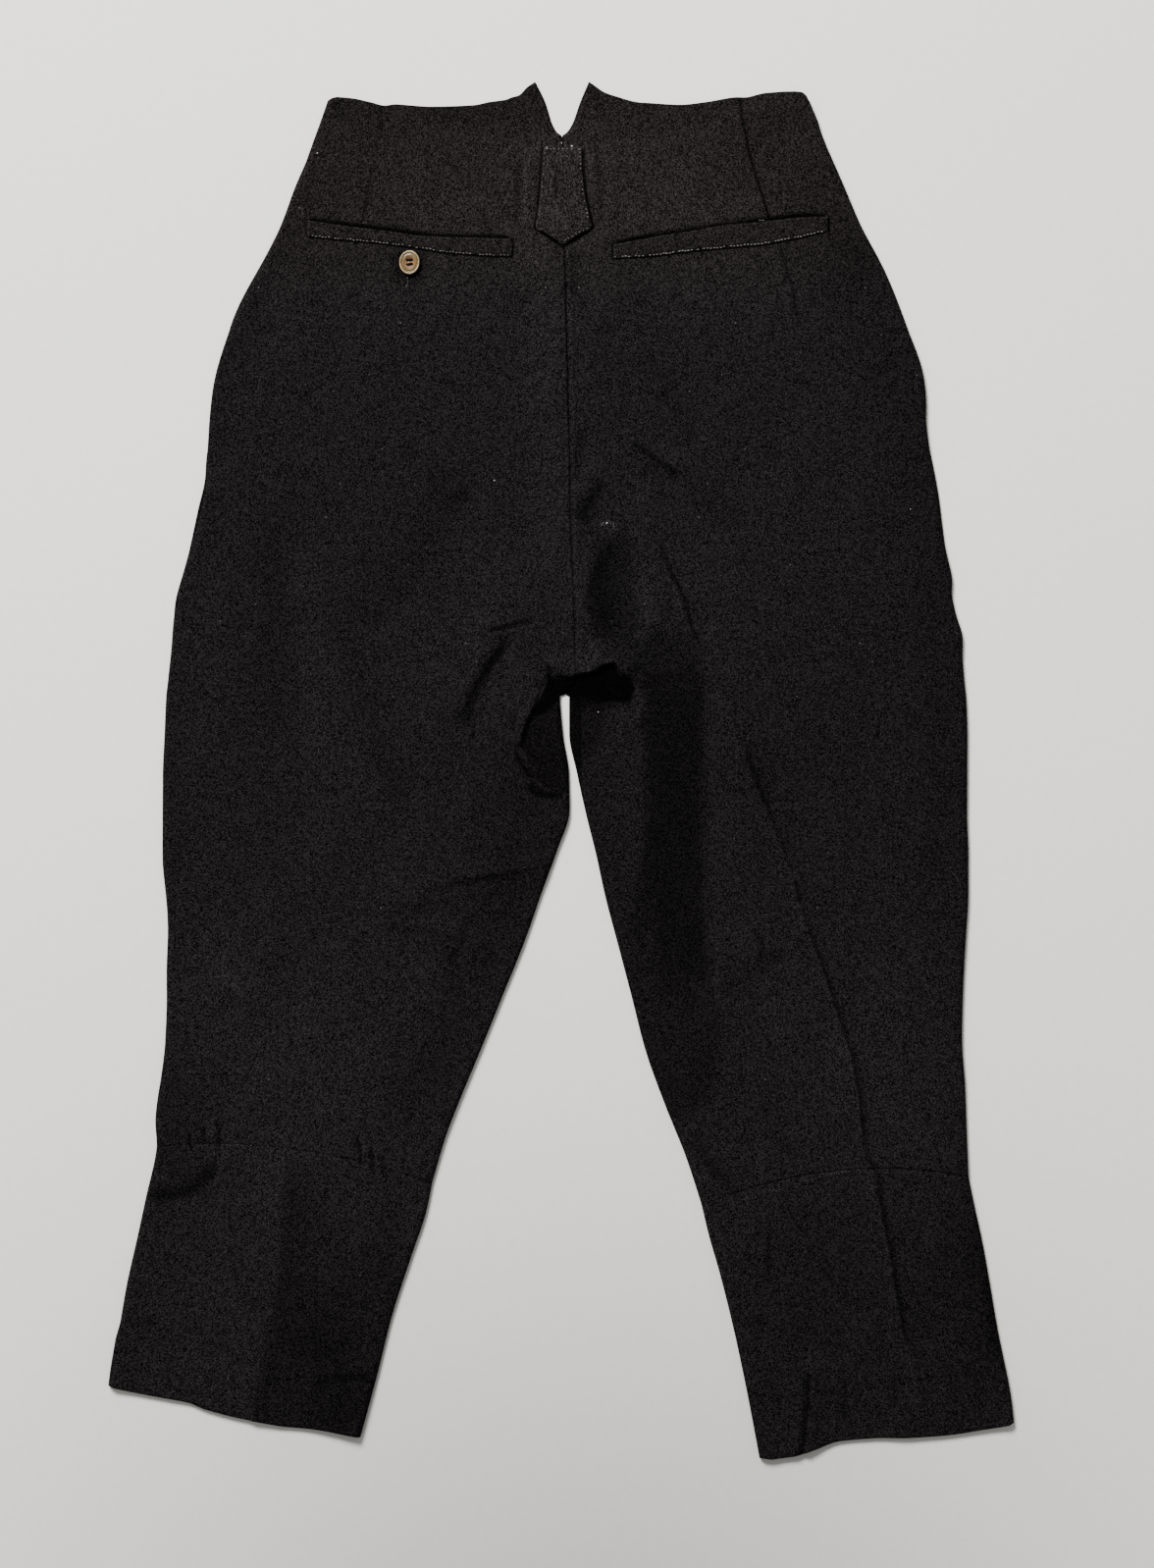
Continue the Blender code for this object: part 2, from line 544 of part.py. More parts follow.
def pocket_button(height):
    """A dished horn button with four holes, standing on the cloth below the left pocket."""
    mesh = bmesh.new()
    profile = [mesh.verts.new((ring.radius, 0, ring.height)) for ring in BUTTON_PROFILE]
    edges = [mesh.edges.new(pair) for pair in zip(profile, profile[1:])]
    bmesh.ops.spin(
        mesh, geom=profile + edges, axis=(0, 0, 1), cent=(0, 0, 0),
        angle=2 * math.pi, steps=BUTTON_TURNS, use_merge=True,
    )
    bmesh.ops.remove_doubles(mesh, verts=mesh.verts, dist=1e-6)
    bmesh.ops.holes_fill(mesh, edges=[edge for edge in mesh.edges if edge.is_boundary])
    bmesh.ops.recalc_face_normals(mesh, faces=mesh.faces)
    button = named_object("pocket_button", mesh, HORN, 0.35)
    around = [2 * math.pi * step / BUTTON_TURNS for step in range(BUTTON_TURNS)]
    footprint = [(0.0, 0.0)] + [
        (share * BUTTON_RADIUS * math.cos(angle), share * BUTTON_RADIUS * math.sin(angle))
        for share in (0.5, 1.0)
        for angle in around
    ]
    seat = max(height(BUTTON_X + x, BUTTON_Y + y) for x, y in footprint)
    for hole in button_holes():
        cut = button.modifiers.new(hole.name, "BOOLEAN")
        cut.operation = "DIFFERENCE"
        cut.object = hole
        hole.parent = button
    button.location = (BUTTON_X, BUTTON_Y, seat + SEAM_GAP)
    return button


def build():
    for old in list(bpy.data.objects):
        bpy.data.objects.remove(old, do_unlink=True)
    backs = [
        panel("back_left_panel", BACK_LEFT, "left", "back"),
        panel("back_right_panel", BACK_RIGHT, "right", "back"),
    ]
    panel("back_left_lower_leg", LOWER_LEFT, "left", "back")
    panel("back_right_lower_leg", LOWER_RIGHT, "right", "back")
    panel("front_left_panel", FRONT_LEFT, "left", "front")
    panel("front_right_panel", FRONT_RIGHT, "right", "front")
    panel("front_left_lower_leg", LOWER_LEFT, "left", "front")
    panel("front_right_lower_leg", LOWER_RIGHT, "right", "front")
    fly_underlap()
    height = surface_of(backs)
    pocket_welt("pocket_welt_left", LEFT_WELT, height)
    pocket_welt("pocket_welt_right", RIGHT_WELT, height)
    centre_back_tab(height)
    pocket_button(height)


build()
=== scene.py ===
"""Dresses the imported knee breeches: cloth with its folds, seams, stitches, pockets, button and studio.

The breeches lie on the floor with the back upwards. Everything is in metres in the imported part's
frame: +Y towards the waist, +Z up out of the back, and the wearer's left leg at negative X.
"""

import logging
import math
import random
from dataclasses import dataclass, field
from enum import Enum

import bmesh
import bpy
import numpy as np
from mathutils import Matrix, Vector
from mathutils.bvhtree import BVHTree


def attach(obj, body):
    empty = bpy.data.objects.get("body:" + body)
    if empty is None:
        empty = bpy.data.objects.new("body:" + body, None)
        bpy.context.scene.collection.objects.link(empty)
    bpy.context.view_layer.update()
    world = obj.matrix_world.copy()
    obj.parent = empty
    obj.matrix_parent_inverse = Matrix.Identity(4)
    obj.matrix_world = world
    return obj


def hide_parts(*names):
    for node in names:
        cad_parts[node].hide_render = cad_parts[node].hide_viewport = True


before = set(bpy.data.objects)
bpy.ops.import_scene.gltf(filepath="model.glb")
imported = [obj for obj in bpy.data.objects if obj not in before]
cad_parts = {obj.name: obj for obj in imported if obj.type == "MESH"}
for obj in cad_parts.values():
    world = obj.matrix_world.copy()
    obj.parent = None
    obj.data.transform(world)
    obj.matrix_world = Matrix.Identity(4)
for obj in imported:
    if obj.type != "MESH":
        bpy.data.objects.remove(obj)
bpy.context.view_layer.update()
BODY = "root"
LOG = logging.getLogger("knee_breeches")

Point = tuple[float, float]


class Side(Enum):
    """The wearer's side that a piece belongs to."""

    LEFT = "left"
    RIGHT = "right"


class Layer(Enum):
    """The upper or the lower cloth of the garment as it lies."""

    BACK = "back"
    FRONT = "front"


class Edge(Enum):
    """What the first or last row of a panel is."""

    WAIST = "waist"
    KNEE = "knee"
    HEM = "hem"


class ThreadKind(Enum):
    """How much of its dye a thread has kept."""

    PALE = "pale"
    GREY = "grey"
    DARK = "dark"


@dataclass(frozen=True)
class Section:
    """Width of a panel at one height: side seam, middle, and centre or inside-leg seam."""

    outer_x: float
    outer_y: float
    mid_y: float
    inner_x: float
    inner_y: float
    tip: float = 0.0


@dataclass(frozen=True)
class Fold:
    """A soft ridge, or a trough where the rise is negative, along a path.

    The spreads are its reach on the left and right of somebody who walks along the path, and the
    tone is how much paler, or darker where negative, the cloth is along it. The darker tones are
    painted shade along creases and troughs and on slopes turned away from the lamp; the paler ones
    are partly wear and partly painted light on ridges.
    """

    rise: float
    left: float
    right: float
    path: tuple[Point, ...]
    tone: float = 0.0
    crisp: bool = False
    fade: float = 0.15


@dataclass(frozen=True)
class Patch:
    """An oval area of paler or darker cloth, which holds both wear and painted shade."""

    x: float
    y: float
    reach_x: float
    reach_y: float
    tone: float


@dataclass(frozen=True)
class Area:
    """Sunken cloth inside an outline, darkened by painted shade, whose edge is as soft as stated."""

    rise: float
    tone: float
    softness: float
    outline: tuple[Point, ...]


@dataclass(frozen=True)
class WeltSection:
    """Mouth and lower edge of a pocket welt at one place."""

    x: float
    upper_y: float
    lower_y: float


@dataclass(frozen=True)
class TabSection:
    """Left and right edge of the centre-back tab at one height."""

    y: float
    left_x: float
    right_x: float


@dataclass(frozen=True)
class StitchRun:
    """A line of hand or machine stitches on the cloth."""

    name: str
    path: tuple[Point, ...]
    kind: ThreadKind
    pitch: float = 0.0026
    length: float = 0.0016
    width: float = 0.0005
    missing: float = 0.25
    wander: float = 0.0002
    seed: int = 1


@dataclass(frozen=True)
class Ring:
    """One point of the button's half outline."""

    radius: float
    height: float


# Seams and cloth
CLOTH = 0.0013
SEAM_GAP = 0.0003
SEAM_HEIGHT = 0.0025
TURN_REACH = 0.004
TIP_CURVE = 1.5
CROTCH_TOP, CROTCH_FOOT = 0.08, 0.052

# Concealed strip behind the centre-front opening
UNDERLAP_HALF_WIDTH = 0.018
UNDERLAP_TOP, UNDERLAP_FOOT = 0.412, 0.27

# Horn button below the left pocket
BUTTON_X, BUTTON_Y = -0.11, 0.369

# Back panels from waist to knee: side seam, middle, and centre seam or inside-leg seam
BACK_LEFT = (
    Section(-0.168, 0.487, 0.482, -0.019, 0.5, 0.012),
    Section(-0.171, 0.478, 0.473, -0.012, 0.486, 0.009),
    Section(-0.174, 0.469, 0.464, -0.0065, 0.469, 0.003),
    Section(-0.176, 0.464, 0.459, -0.003, 0.4632, 0.001),
    Section(-0.177, 0.46, 0.455, 0.0005, 0.46),
    Section(-0.181, 0.45, 0.443, 0.001, 0.448),
    Section(-0.193, 0.424, 0.42, 0.002, 0.423),
    Section(-0.204, 0.396, 0.393, 0.002, 0.394),
    Section(-0.222, 0.359, 0.357, 0.003, 0.359),
    Section(-0.241, 0.317, 0.316, 0.004, 0.317),
    Section(-0.253, 0.276, 0.276, 0.005, 0.276),
    Section(-0.258, 0.233, 0.233, 0.006, 0.233),
    Section(-0.264, 0.188, 0.188, 0.0065, 0.188),
    Section(-0.273, 0.146, 0.146, 0.008, 0.146),
    Section(-0.281, 0.103, 0.103, 0.0095, 0.103),
    Section(-0.285, 0.071, 0.067, 0.0105, 0.067),
    Section(-0.286, 0.061, 0.059, 0.006, 0.06),
    Section(-0.287, 0.051, 0.05, -0.001, 0.052),
    Section(-0.288, 0.024, 0.024, 0.0013, 0.024),
    Section(-0.289, -0.004, -0.004, 0.0055, -0.003),
    Section(-0.289, -0.033, -0.034, 0.006, -0.03),
    Section(-0.289, -0.06, -0.063, -0.003, -0.059),
    Section(-0.288, -0.09, -0.094, -0.014, -0.089),
    Section(-0.286, -0.126, -0.13, -0.027, -0.126),
    Section(-0.286, -0.161, -0.167, -0.042, -0.163),
    Section(-0.288, -0.197, -0.203, -0.057, -0.2),
    Section(-0.293, -0.236, -0.24, -0.074, -0.241),
    Section(-0.294, -0.256, -0.258, -0.084, -0.267),
    Section(-0.295, -0.274, -0.276, -0.094, -0.301),
)
BACK_RIGHT = (
    Section(0.179, 0.489, 0.483, 0.02, 0.5, 0.012),
    Section(0.183, 0.479, 0.474, 0.014, 0.486, 0.009),
    Section(0.186, 0.471, 0.464, 0.0078, 0.469, 0.003),
    Section(0.187, 0.466, 0.46, 0.004, 0.4632, 0.001),
    Section(0.188, 0.463, 0.456, 0.0005, 0.46),
    Section(0.193, 0.451, 0.443, 0.001, 0.448),
    Section(0.205, 0.424, 0.42, 0.002, 0.423),
    Section(0.217, 0.396, 0.393, 0.002, 0.394),
    Section(0.235, 0.358, 0.357, 0.003, 0.359),
    Section(0.252, 0.317, 0.316, 0.004, 0.317),
    Section(0.264, 0.276, 0.276, 0.005, 0.276),
    Section(0.269, 0.233, 0.233, 0.006, 0.233),
    Section(0.276, 0.188, 0.188, 0.0065, 0.188),
    Section(0.283, 0.147, 0.146, 0.008, 0.146),
    Section(0.289, 0.106, 0.103, 0.0095, 0.103),
    Section(0.292, 0.071, 0.067, 0.0105, 0.067),
    Section(0.293, 0.06, 0.059, 0.0095, 0.06),
    Section(0.294, 0.05, 0.05, 0.006, 0.053),
    Section(0.295, 0.024, 0.024, 0.0057, 0.026),
    Section(0.295, -0.004, -0.004, 0.0114, -0.003),
    Section(0.295, -0.033, -0.034, 0.018, -0.033),
    Section(0.296, -0.061, -0.063, 0.025, -0.061),
    Section(0.296, -0.091, -0.093, 0.032, -0.093),
    Section(0.294, -0.126, -0.127, 0.041, -0.127),
    Section(0.292, -0.161, -0.163, 0.051, -0.165),
    Section(0.291, -0.197, -0.199, 0.061, -0.204),
    Section(0.293, -0.231, -0.233, 0.075, -0.243),
    Section(0.294, -0.265, -0.266, 0.091, -0.283),
    Section(0.295, -0.296, -0.292, 0.102, -0.317),
)

# Lower legs from the knee seam to the hem, the same for back and front
LOWER_LEFT = (
    BACK_LEFT[-1],
    Section(-0.298, -0.296, -0.302, -0.098, -0.321),
    Section(-0.306, -0.334, -0.34, -0.11, -0.357),
    Section(-0.316, -0.378, -0.387, -0.123, -0.397),
    Section(-0.323, -0.42, -0.433, -0.134, -0.441),
    Section(-0.328, -0.449, -0.47, -0.146, -0.486),
)
LOWER_RIGHT = (
    BACK_RIGHT[-1],
    Section(0.299, -0.316, -0.315, 0.107, -0.338),
    Section(0.305, -0.343, -0.345, 0.115, -0.366),
    Section(0.313, -0.384, -0.39, 0.125, -0.406),
    Section(0.321, -0.431, -0.438, 0.134, -0.448),
    Section(0.328, -0.476, -0.487, 0.144, -0.5),
)

# Fronts from their lower waist edge to the crotch; below the crotch they match the backs
BELOW_CROTCH = 18
FRONT_LEFT = (
    Section(-0.168, 0.487, 0.45, 0.001, 0.433),
    Section(-0.181, 0.45, 0.422, 0.0015, 0.406),
    Section(-0.204, 0.396, 0.379, 0.002, 0.367),
    Section(-0.241, 0.317, 0.307, 0.004, 0.298),
    Section(-0.258, 0.233, 0.228, 0.006, 0.223),
    Section(-0.273, 0.146, 0.143, 0.008, 0.139),
    Section(-0.285, 0.071, 0.067, 0.0065, 0.067),
    Section(-0.286, 0.061, 0.059, 0.0035, 0.06),
    Section(-0.287, 0.0545, 0.054, 0.003, 0.0545),
    Section(-0.287, 0.0525, 0.052, -0.0014, 0.053),
) + BACK_LEFT[BELOW_CROTCH:]
FRONT_RIGHT = (
    Section(0.179, 0.489, 0.45, 0.001, 0.433),
    Section(0.193, 0.451, 0.422, 0.0015, 0.406),
    Section(0.217, 0.396, 0.379, 0.002, 0.367),
    Section(0.252, 0.317, 0.307, 0.004, 0.298),
    Section(0.269, 0.233, 0.228, 0.006, 0.223),
    Section(0.283, 0.147, 0.143, 0.008, 0.139),
    Section(0.292, 0.071, 0.067, 0.0065, 0.067),
    Section(0.293, 0.06, 0.059, 0.0035, 0.06),
    Section(0.294, 0.0545, 0.054, 0.003, 0.0545),
    Section(0.294, 0.0525, 0.052, 0.0057, 0.053),
) + BACK_RIGHT[BELOW_CROTCH:]

# How far the waist and the hems rise above their even curves, by the distance from the side seam
WAIST_LINE = {
    Side.LEFT: (
        (0.0, -0.001), (0.003, 0.0008), (0.007, 0.0023), (0.017, 0.0028), (0.031, 0.0012), (0.039, -0.0003),
        (0.048, 0.0012), (0.074, 0.0), (0.104, 0.0), (0.117, 0.0015), (0.131, 0.0018), (0.138, 0.0),
        (0.143, 0.0013), (0.15, 0.0),
    ),
    Side.RIGHT: (
        (0.0, -0.0032), (0.002, 0.0004), (0.005, 0.0034), (0.01, 0.005), (0.02, 0.0062), (0.031, 0.0065),
        (0.045, 0.0045), (0.052, 0.005), (0.073, 0.0024), (0.094, 0.0003), (0.116, 0.0008), (0.137, 0.0),
        (0.148, -0.0012), (0.158, 0.0),
    ),
}
HEM_LINE = {
    Side.LEFT: (
        (0.0, 0.0012), (0.005, 0.0004), (0.022, 0.0008), (0.042, 0.0018), (0.056, 0.0024), (0.069, 0.0002),
        (0.089, -0.0009), (0.12, -0.0011), (0.154, 0.0012), (0.182, 0.0006),
    ),
    Side.RIGHT: (
        (0.0, 0.0012), (0.004, -0.0004), (0.016, -0.0013), (0.044, -0.0026), (0.076, -0.001),
        (0.101, 0.002), (0.126, 0.0031), (0.144, -0.0004), (0.16, -0.003), (0.174, -0.0028),
        (0.184, -0.0006),
    ),
}

# How far the side seams lie outside their even curves, by height along the garment
SIDE_LINE = {
    Side.LEFT: (
        (-0.47, 0.0004), (-0.433, 0.002), (-0.416, 0.0021), (-0.4, 0.0005), (-0.34, 0.0008), (-0.31, 0.001),
        (-0.276, -0.0009), (-0.254, 0.0012), (-0.225, -0.0005), (-0.15, 0.001), (-0.1, -0.0006),
        (-0.065, 0.001), (0.08, 0.0003), (0.11, 0.0018), (0.124, 0.0028), (0.14, 0.0015), (0.16, -0.0004),
        (0.19, -0.0018), (0.208, -0.003), (0.226, -0.0012), (0.25, 0.0), (0.33, 0.0011), (0.375, -0.0005),
        (0.44, 0.0006), (0.453, 0.0019), (0.482, 0.0018),
    ),
    Side.RIGHT: (
        (-0.48, 0.001), (-0.455, 0.0018), (-0.4, 0.0), (-0.33, 0.001), (-0.25, 0.0006), (-0.1, -0.0002),
        (0.08, 0.0004), (0.097, 0.0017), (0.112, -0.0012), (0.125, -0.0024), (0.14, -0.0002),
        (0.165, -0.0019), (0.205, -0.0007), (0.25, -0.0017), (0.268, 0.0), (0.296, 0.0018), (0.33, 0.0006),
        (0.367, 0.0019), (0.4, 0.0004), (0.44, 0.0007), (0.482, 0.0013),
    ),
}

# Folds of the upper cloth that the solid has too
MAIN_FOLDS = {
    "seat_swell": Fold(0.003, 0.04, 0.04, ((-0.07, 0.12), (0.02, 0.115), (0.09, 0.12))),
    "crotch_hollow": Fold(
        -0.0036, 0.01, 0.01, ((-0.028, 0.06), (0.0, 0.058), (0.045, 0.055), (0.07, 0.048)),
    ),
    "left_leg_inlet": Fold(-0.0018, 0.009, 0.009, ((0.002, 0.056), (-0.008, 0.02), (-0.004, -0.012))),
    "right_hollow": Fold(-0.0028, 0.013, 0.013, ((0.022, 0.19), (0.049, 0.139), (0.043, 0.09))),
    "right_hollow_lip": Fold(0.002, 0.01, 0.01, ((0.011, 0.21), (0.02, 0.131), (0.024, 0.088))),
    "right_outer_lip": Fold(0.0024, 0.011, 0.011, ((0.05, 0.205), (0.072, 0.146), (0.064, 0.085))),
    "right_arc": Fold(0.0016, 0.01, 0.01, ((0.04, 0.24), (0.069, 0.225), (0.088, 0.216), (0.13, 0.178))),
    "right_crease": Fold(
        0.0018, 0.009, 0.009,
        ((0.072, 0.17), (0.1, 0.092), (0.145, -0.02), (0.171, -0.086), (0.202, -0.176), (0.222, -0.275)),
    ),
    "right_valley": Fold(-0.0012, 0.026, 0.026, ((0.08, 0.075), (0.084, -0.04), (0.104, -0.15))),
    "right_hip_swell": Fold(0.0014, 0.03, 0.03, ((0.2, 0.345), (0.225, 0.23), (0.212, 0.09))),
    "right_thigh_swell": Fold(0.0012, 0.028, 0.028, ((0.24, 0.02), (0.252, -0.09), (0.254, -0.19))),
    "right_shin_crease": Fold(
        0.0015, 0.008, 0.008, ((0.226, -0.275), (0.233, -0.326), (0.241, -0.366), (0.264, -0.47)),
    ),
    "right_hem_fold": Fold(0.0024, 0.01, 0.01, ((0.184, -0.425), (0.176, -0.52))),
    "left_seat_trough": Fold(-0.0014, 0.01, 0.01, ((-0.034, 0.1), (-0.051, 0.067), (-0.07, 0.032))),
    "left_seat_roll": Fold(0.002, 0.012, 0.012, ((-0.052, 0.112), (-0.067, 0.074), (-0.086, 0.034))),
    "left_hip_trough": Fold(-0.0008, 0.03, 0.03, ((-0.165, 0.215), (-0.123, 0.153), (-0.08, 0.095))),
    "left_hip_swell": Fold(0.0014, 0.03, 0.03, ((-0.19, 0.34), (-0.215, 0.23), (-0.2, 0.09))),
    "left_thigh_swell": Fold(0.0012, 0.03, 0.03, ((-0.225, 0.02), (-0.238, -0.08), (-0.24, -0.19))),
    "left_inner_fold": Fold(0.0024, 0.01, 0.01, ((-0.135, -0.101), (-0.07, -0.086), (0.0, -0.07))),
    "left_lower_fold": Fold(0.0013, 0.01, 0.01, ((-0.112, -0.121), (-0.07, -0.127), (-0.026, -0.129))),
    "left_shin_crease": Fold(
        0.0015, 0.008, 0.008, ((-0.203, -0.265), (-0.204, -0.344), (-0.209, -0.381), (-0.222, -0.47)),
    ),
    "left_knee_dent": Fold(-0.0014, 0.012, 0.012, ((-0.3, -0.284), (-0.275, -0.303), (-0.246, -0.322))),
    "left_hem_lift": Fold(0.0018, 0.02, 0.02, ((-0.18, -0.43), (-0.165, -0.46), (-0.15, -0.52))),
}

# Crotch, where the seat lies over the opening between the legs; the darker tones below the seat's edge and
# beside the opening are painted shade
CROTCH_FOLDS = {
    "seat_lip": Fold(
        0.0034, 0.014, 0.0018,
        (
            (-0.013, 0.08), (-0.008, 0.077), (-0.003, 0.069), (0.007, 0.068), (0.013, 0.07),
            (0.022, 0.0715), (0.028, 0.0765), (0.04, 0.0785), (0.046, 0.07), (0.054, 0.0655),
        ), 0.08, fade=0.12,
    ),
    "left_roll_edge": Fold(
        0.0028, 0.0016, 0.012,
        (
            (-0.012, 0.07), (-0.0165, 0.0565), (-0.0225, 0.042), (-0.0265, 0.035), (-0.0292, 0.026),
            (-0.0325, 0.014),
        ), 0.06, fade=0.1,
    ),
    "left_edge_shade": Fold(
        -0.0006, 0.0024, 0.0008, ((-0.0195, 0.041), (-0.0238, 0.035), (-0.0266, 0.0265), (-0.0292, 0.0165)),
        -0.6,
    ),
    "left_under_groove": Fold(
        -0.0012, 0.0015, 0.0018, ((-0.0335, 0.014), (-0.029, 0.003), (-0.0195, -0.008)), -0.7,
    ),
    "left_under_ridge": Fold(
        0.0013, 0.0013, 0.0013, ((-0.0305, 0.016), (-0.024, 0.005), (-0.016, -0.004)), 0.9,
    ),
    "left_under_foot": Fold(
        -0.0016, 0.0024, 0.003, ((-0.0225, -0.01), (-0.0195, -0.0165), (-0.01, -0.0195), (0.002, -0.019)),
        -0.75, fade=0.08,
    ),
    "lip_edge": Fold(
        0.0002, 0.001, 0.001,
        (
            (-0.011, 0.0785), (-0.0065, 0.0705), (-0.001, 0.0676), (0.008, 0.0681), (0.0125, 0.0703),
            (0.019, 0.0714), (0.0255, 0.0733), (0.031, 0.0773), (0.039, 0.0783), (0.044, 0.0715),
        ), 0.45, fade=0.08,
    ),
    "crotch_lip_right": Fold(
        0.0018, 0.003, 0.0016, ((0.056, 0.068), (0.0585, 0.058), (0.057, 0.046), (0.056, 0.028)), 0.22,
    ),
}
# Painted shade in the cavity below the seat, on the lower layer seen through the opening, and in the right
# leg's valley and hollow
CROTCH_AREAS = {
    "cavity": Area(
        -0.002, -0.9, 0.0013,
        (
            (-0.0096, 0.0757), (-0.0071, 0.0671), (-0.0014, 0.0653), (0.0079, 0.066), (0.0121, 0.0682),
            (0.0189, 0.0693), (0.025, 0.071), (0.03, 0.075), (0.0386, 0.076), (0.0421, 0.0696),
            (0.0507, 0.065), (0.0536, 0.0593), (0.05, 0.05), (0.0271, 0.049), (0.0171, 0.052),
            (-0.0014, 0.053), (-0.0043, 0.0486), (-0.0107, 0.0414), (-0.0186, 0.0378), (-0.0207, 0.0407),
            (-0.0157, 0.0514), (-0.0114, 0.06),
        ),
    ),
    "cavity_foot": Area(
        -0.0004, -0.45, 0.0045,
        ((-0.006, 0.066), (0.052, 0.064), (0.052, 0.046), (0.02, 0.044), (0.002, 0.05)),
    ),
    "left_lower_layer": Area(
        -0.0012, -0.48, 0.001,
        (
            (-0.0114, 0.06), (-0.0157, 0.0514), (-0.0207, 0.0407), (-0.0245, 0.035), (-0.0272, 0.026),
            (-0.03, 0.015), (-0.0257, 0.0057), (-0.02, -0.0036), (-0.0143, -0.0107), (-0.0071, -0.0157),
            (0.015, -0.0186), (0.015, 0.06),
        ),
    ),
    "right_lower_layer": Area(
        -0.0004, -0.38, 0.006,
        ((-0.004, 0.058), (0.036, 0.058), (0.036, 0.04), (0.03, 0.02), (0.02, 0.004), (0.004, -0.004)),
    ),
    "valley_floor": Area(
        -0.0004, -0.3, 0.0032,
        (
            (0.0593, 0.07), (0.1028, 0.07), (0.1028, -0.0828), (0.1057, -0.1185), (0.11, -0.1542),
            (0.1164, -0.1971), (0.1092, -0.2399), (0.07, -0.28), (0.03, -0.16), (0.05, -0.14),
            (0.05, -0.1114), (0.057, -0.0685), (0.0628, -0.0328), (0.0628, 0.0029), (0.0593, 0.05),
        ),
    ),
    "valley_deep": Area(
        -0.0002, -0.34, 0.008,
        ((0.062, 0.06), (0.101, 0.06), (0.102, -0.09), (0.104, -0.15), (0.075, -0.165), (0.064, -0.09)),
    ),
    "seat_shade": Area(
        -0.0003, -0.28, 0.006,
        (
            (0.03, 0.0957), (0.0557, 0.0985), (0.1028, 0.0971), (0.1028, 0.065), (0.0593, 0.06),
            (0.0486, 0.0707), (0.03, 0.08),
        ),
    ),
    "right_hollow_floor": Area(
        -0.001, -0.28, 0.002,
        (
            (0.0407, 0.1749), (0.0328, 0.1628), (0.0243, 0.1457), (0.0179, 0.1242), (0.02, 0.1085),
            (0.0257, 0.0957), (0.0486, 0.0921), (0.0571, 0.1028), (0.0535, 0.1314), (0.0507, 0.1599),
            (0.0486, 0.1721),
        ),
    ),
}

# Left leg, from the seat to the knee; the darker tones in its troughs are painted shade
LEFT_FOLDS = {
    "left_seat_dash": Fold(
        -0.0014, 0.0018, 0.0022, ((-0.054, 0.1), (-0.041, 0.1025), (-0.021, 0.108)), -0.5,
    ),
    "left_seat_hook": Fold(
        -0.002, 0.002, 0.0042,
        ((-0.036, 0.095), (-0.052, 0.0715), (-0.0615, 0.054), (-0.066, 0.04), (-0.068, 0.026)), -0.6,
    ),
    "left_seat_hook_back": Fold(
        0.0013, 0.004, 0.008, ((-0.044, 0.095), (-0.059, 0.073), (-0.069, 0.054), (-0.076, 0.033)), 0.1,
    ),
    "left_leg_tick": Fold(
        -0.0007, 0.0022, 0.0022, ((-0.033, 0.049), (-0.034, 0.036), (-0.035, 0.023)), -0.25,
    ),
    "left_inner_line": Fold(
        -0.0017, 0.0026, 0.0045,
        (
            (-0.122, -0.098), (-0.094, -0.088), (-0.066, -0.081), (-0.037, -0.077), (-0.004, -0.07),
            (0.012, -0.065),
        ), -0.55, fade=0.5,
    ),
    "left_inner_line_low": Fold(
        -0.0008, 0.003, 0.003, ((-0.134, -0.116), (-0.101, -0.119), (-0.062, -0.127)), -0.22,
    ),
    "left_inner_tick": Fold(
        -0.0008, 0.003, 0.005, ((-0.064, -0.104), (-0.073, -0.127), (-0.084, -0.156)), -0.22,
    ),
    "left_hip_valley": Fold(
        -0.002, 0.01, 0.02,
        ((-0.064, 0.217), (-0.077, 0.201), (-0.098, 0.156), (-0.129, 0.121), (-0.148, 0.092)), -0.18,
    ),
    "left_hip_spot": Fold(
        -0.0008, 0.006, 0.006, ((-0.086, 0.193), (-0.076, 0.197), (-0.066, 0.204)), -0.25,
    ),
    "left_inner_shade": Fold(
        -0.0004, 0.03, 0.03,
        ((-0.02, 0.045), (-0.019, -0.04), (-0.044, -0.118), (-0.066, -0.183), (-0.094, -0.262)), -0.24,
    ),
    "left_band_dark": Fold(
        -0.0009, 0.012, 0.012, ((-0.204, 0.203), (-0.209, 0.131), (-0.207, 0.01)), -0.15,
    ),
    "left_band_light": Fold(
        0.001, 0.012, 0.012, ((-0.186, 0.174), (-0.181, 0.074), (-0.169, -0.047)), 0.12,
    ),
    "left_band_low": Fold(
        -0.0009, 0.009, 0.012, ((-0.157, 0.117), (-0.144, 0.067), (-0.119, -0.02)), -0.17,
    ),
}
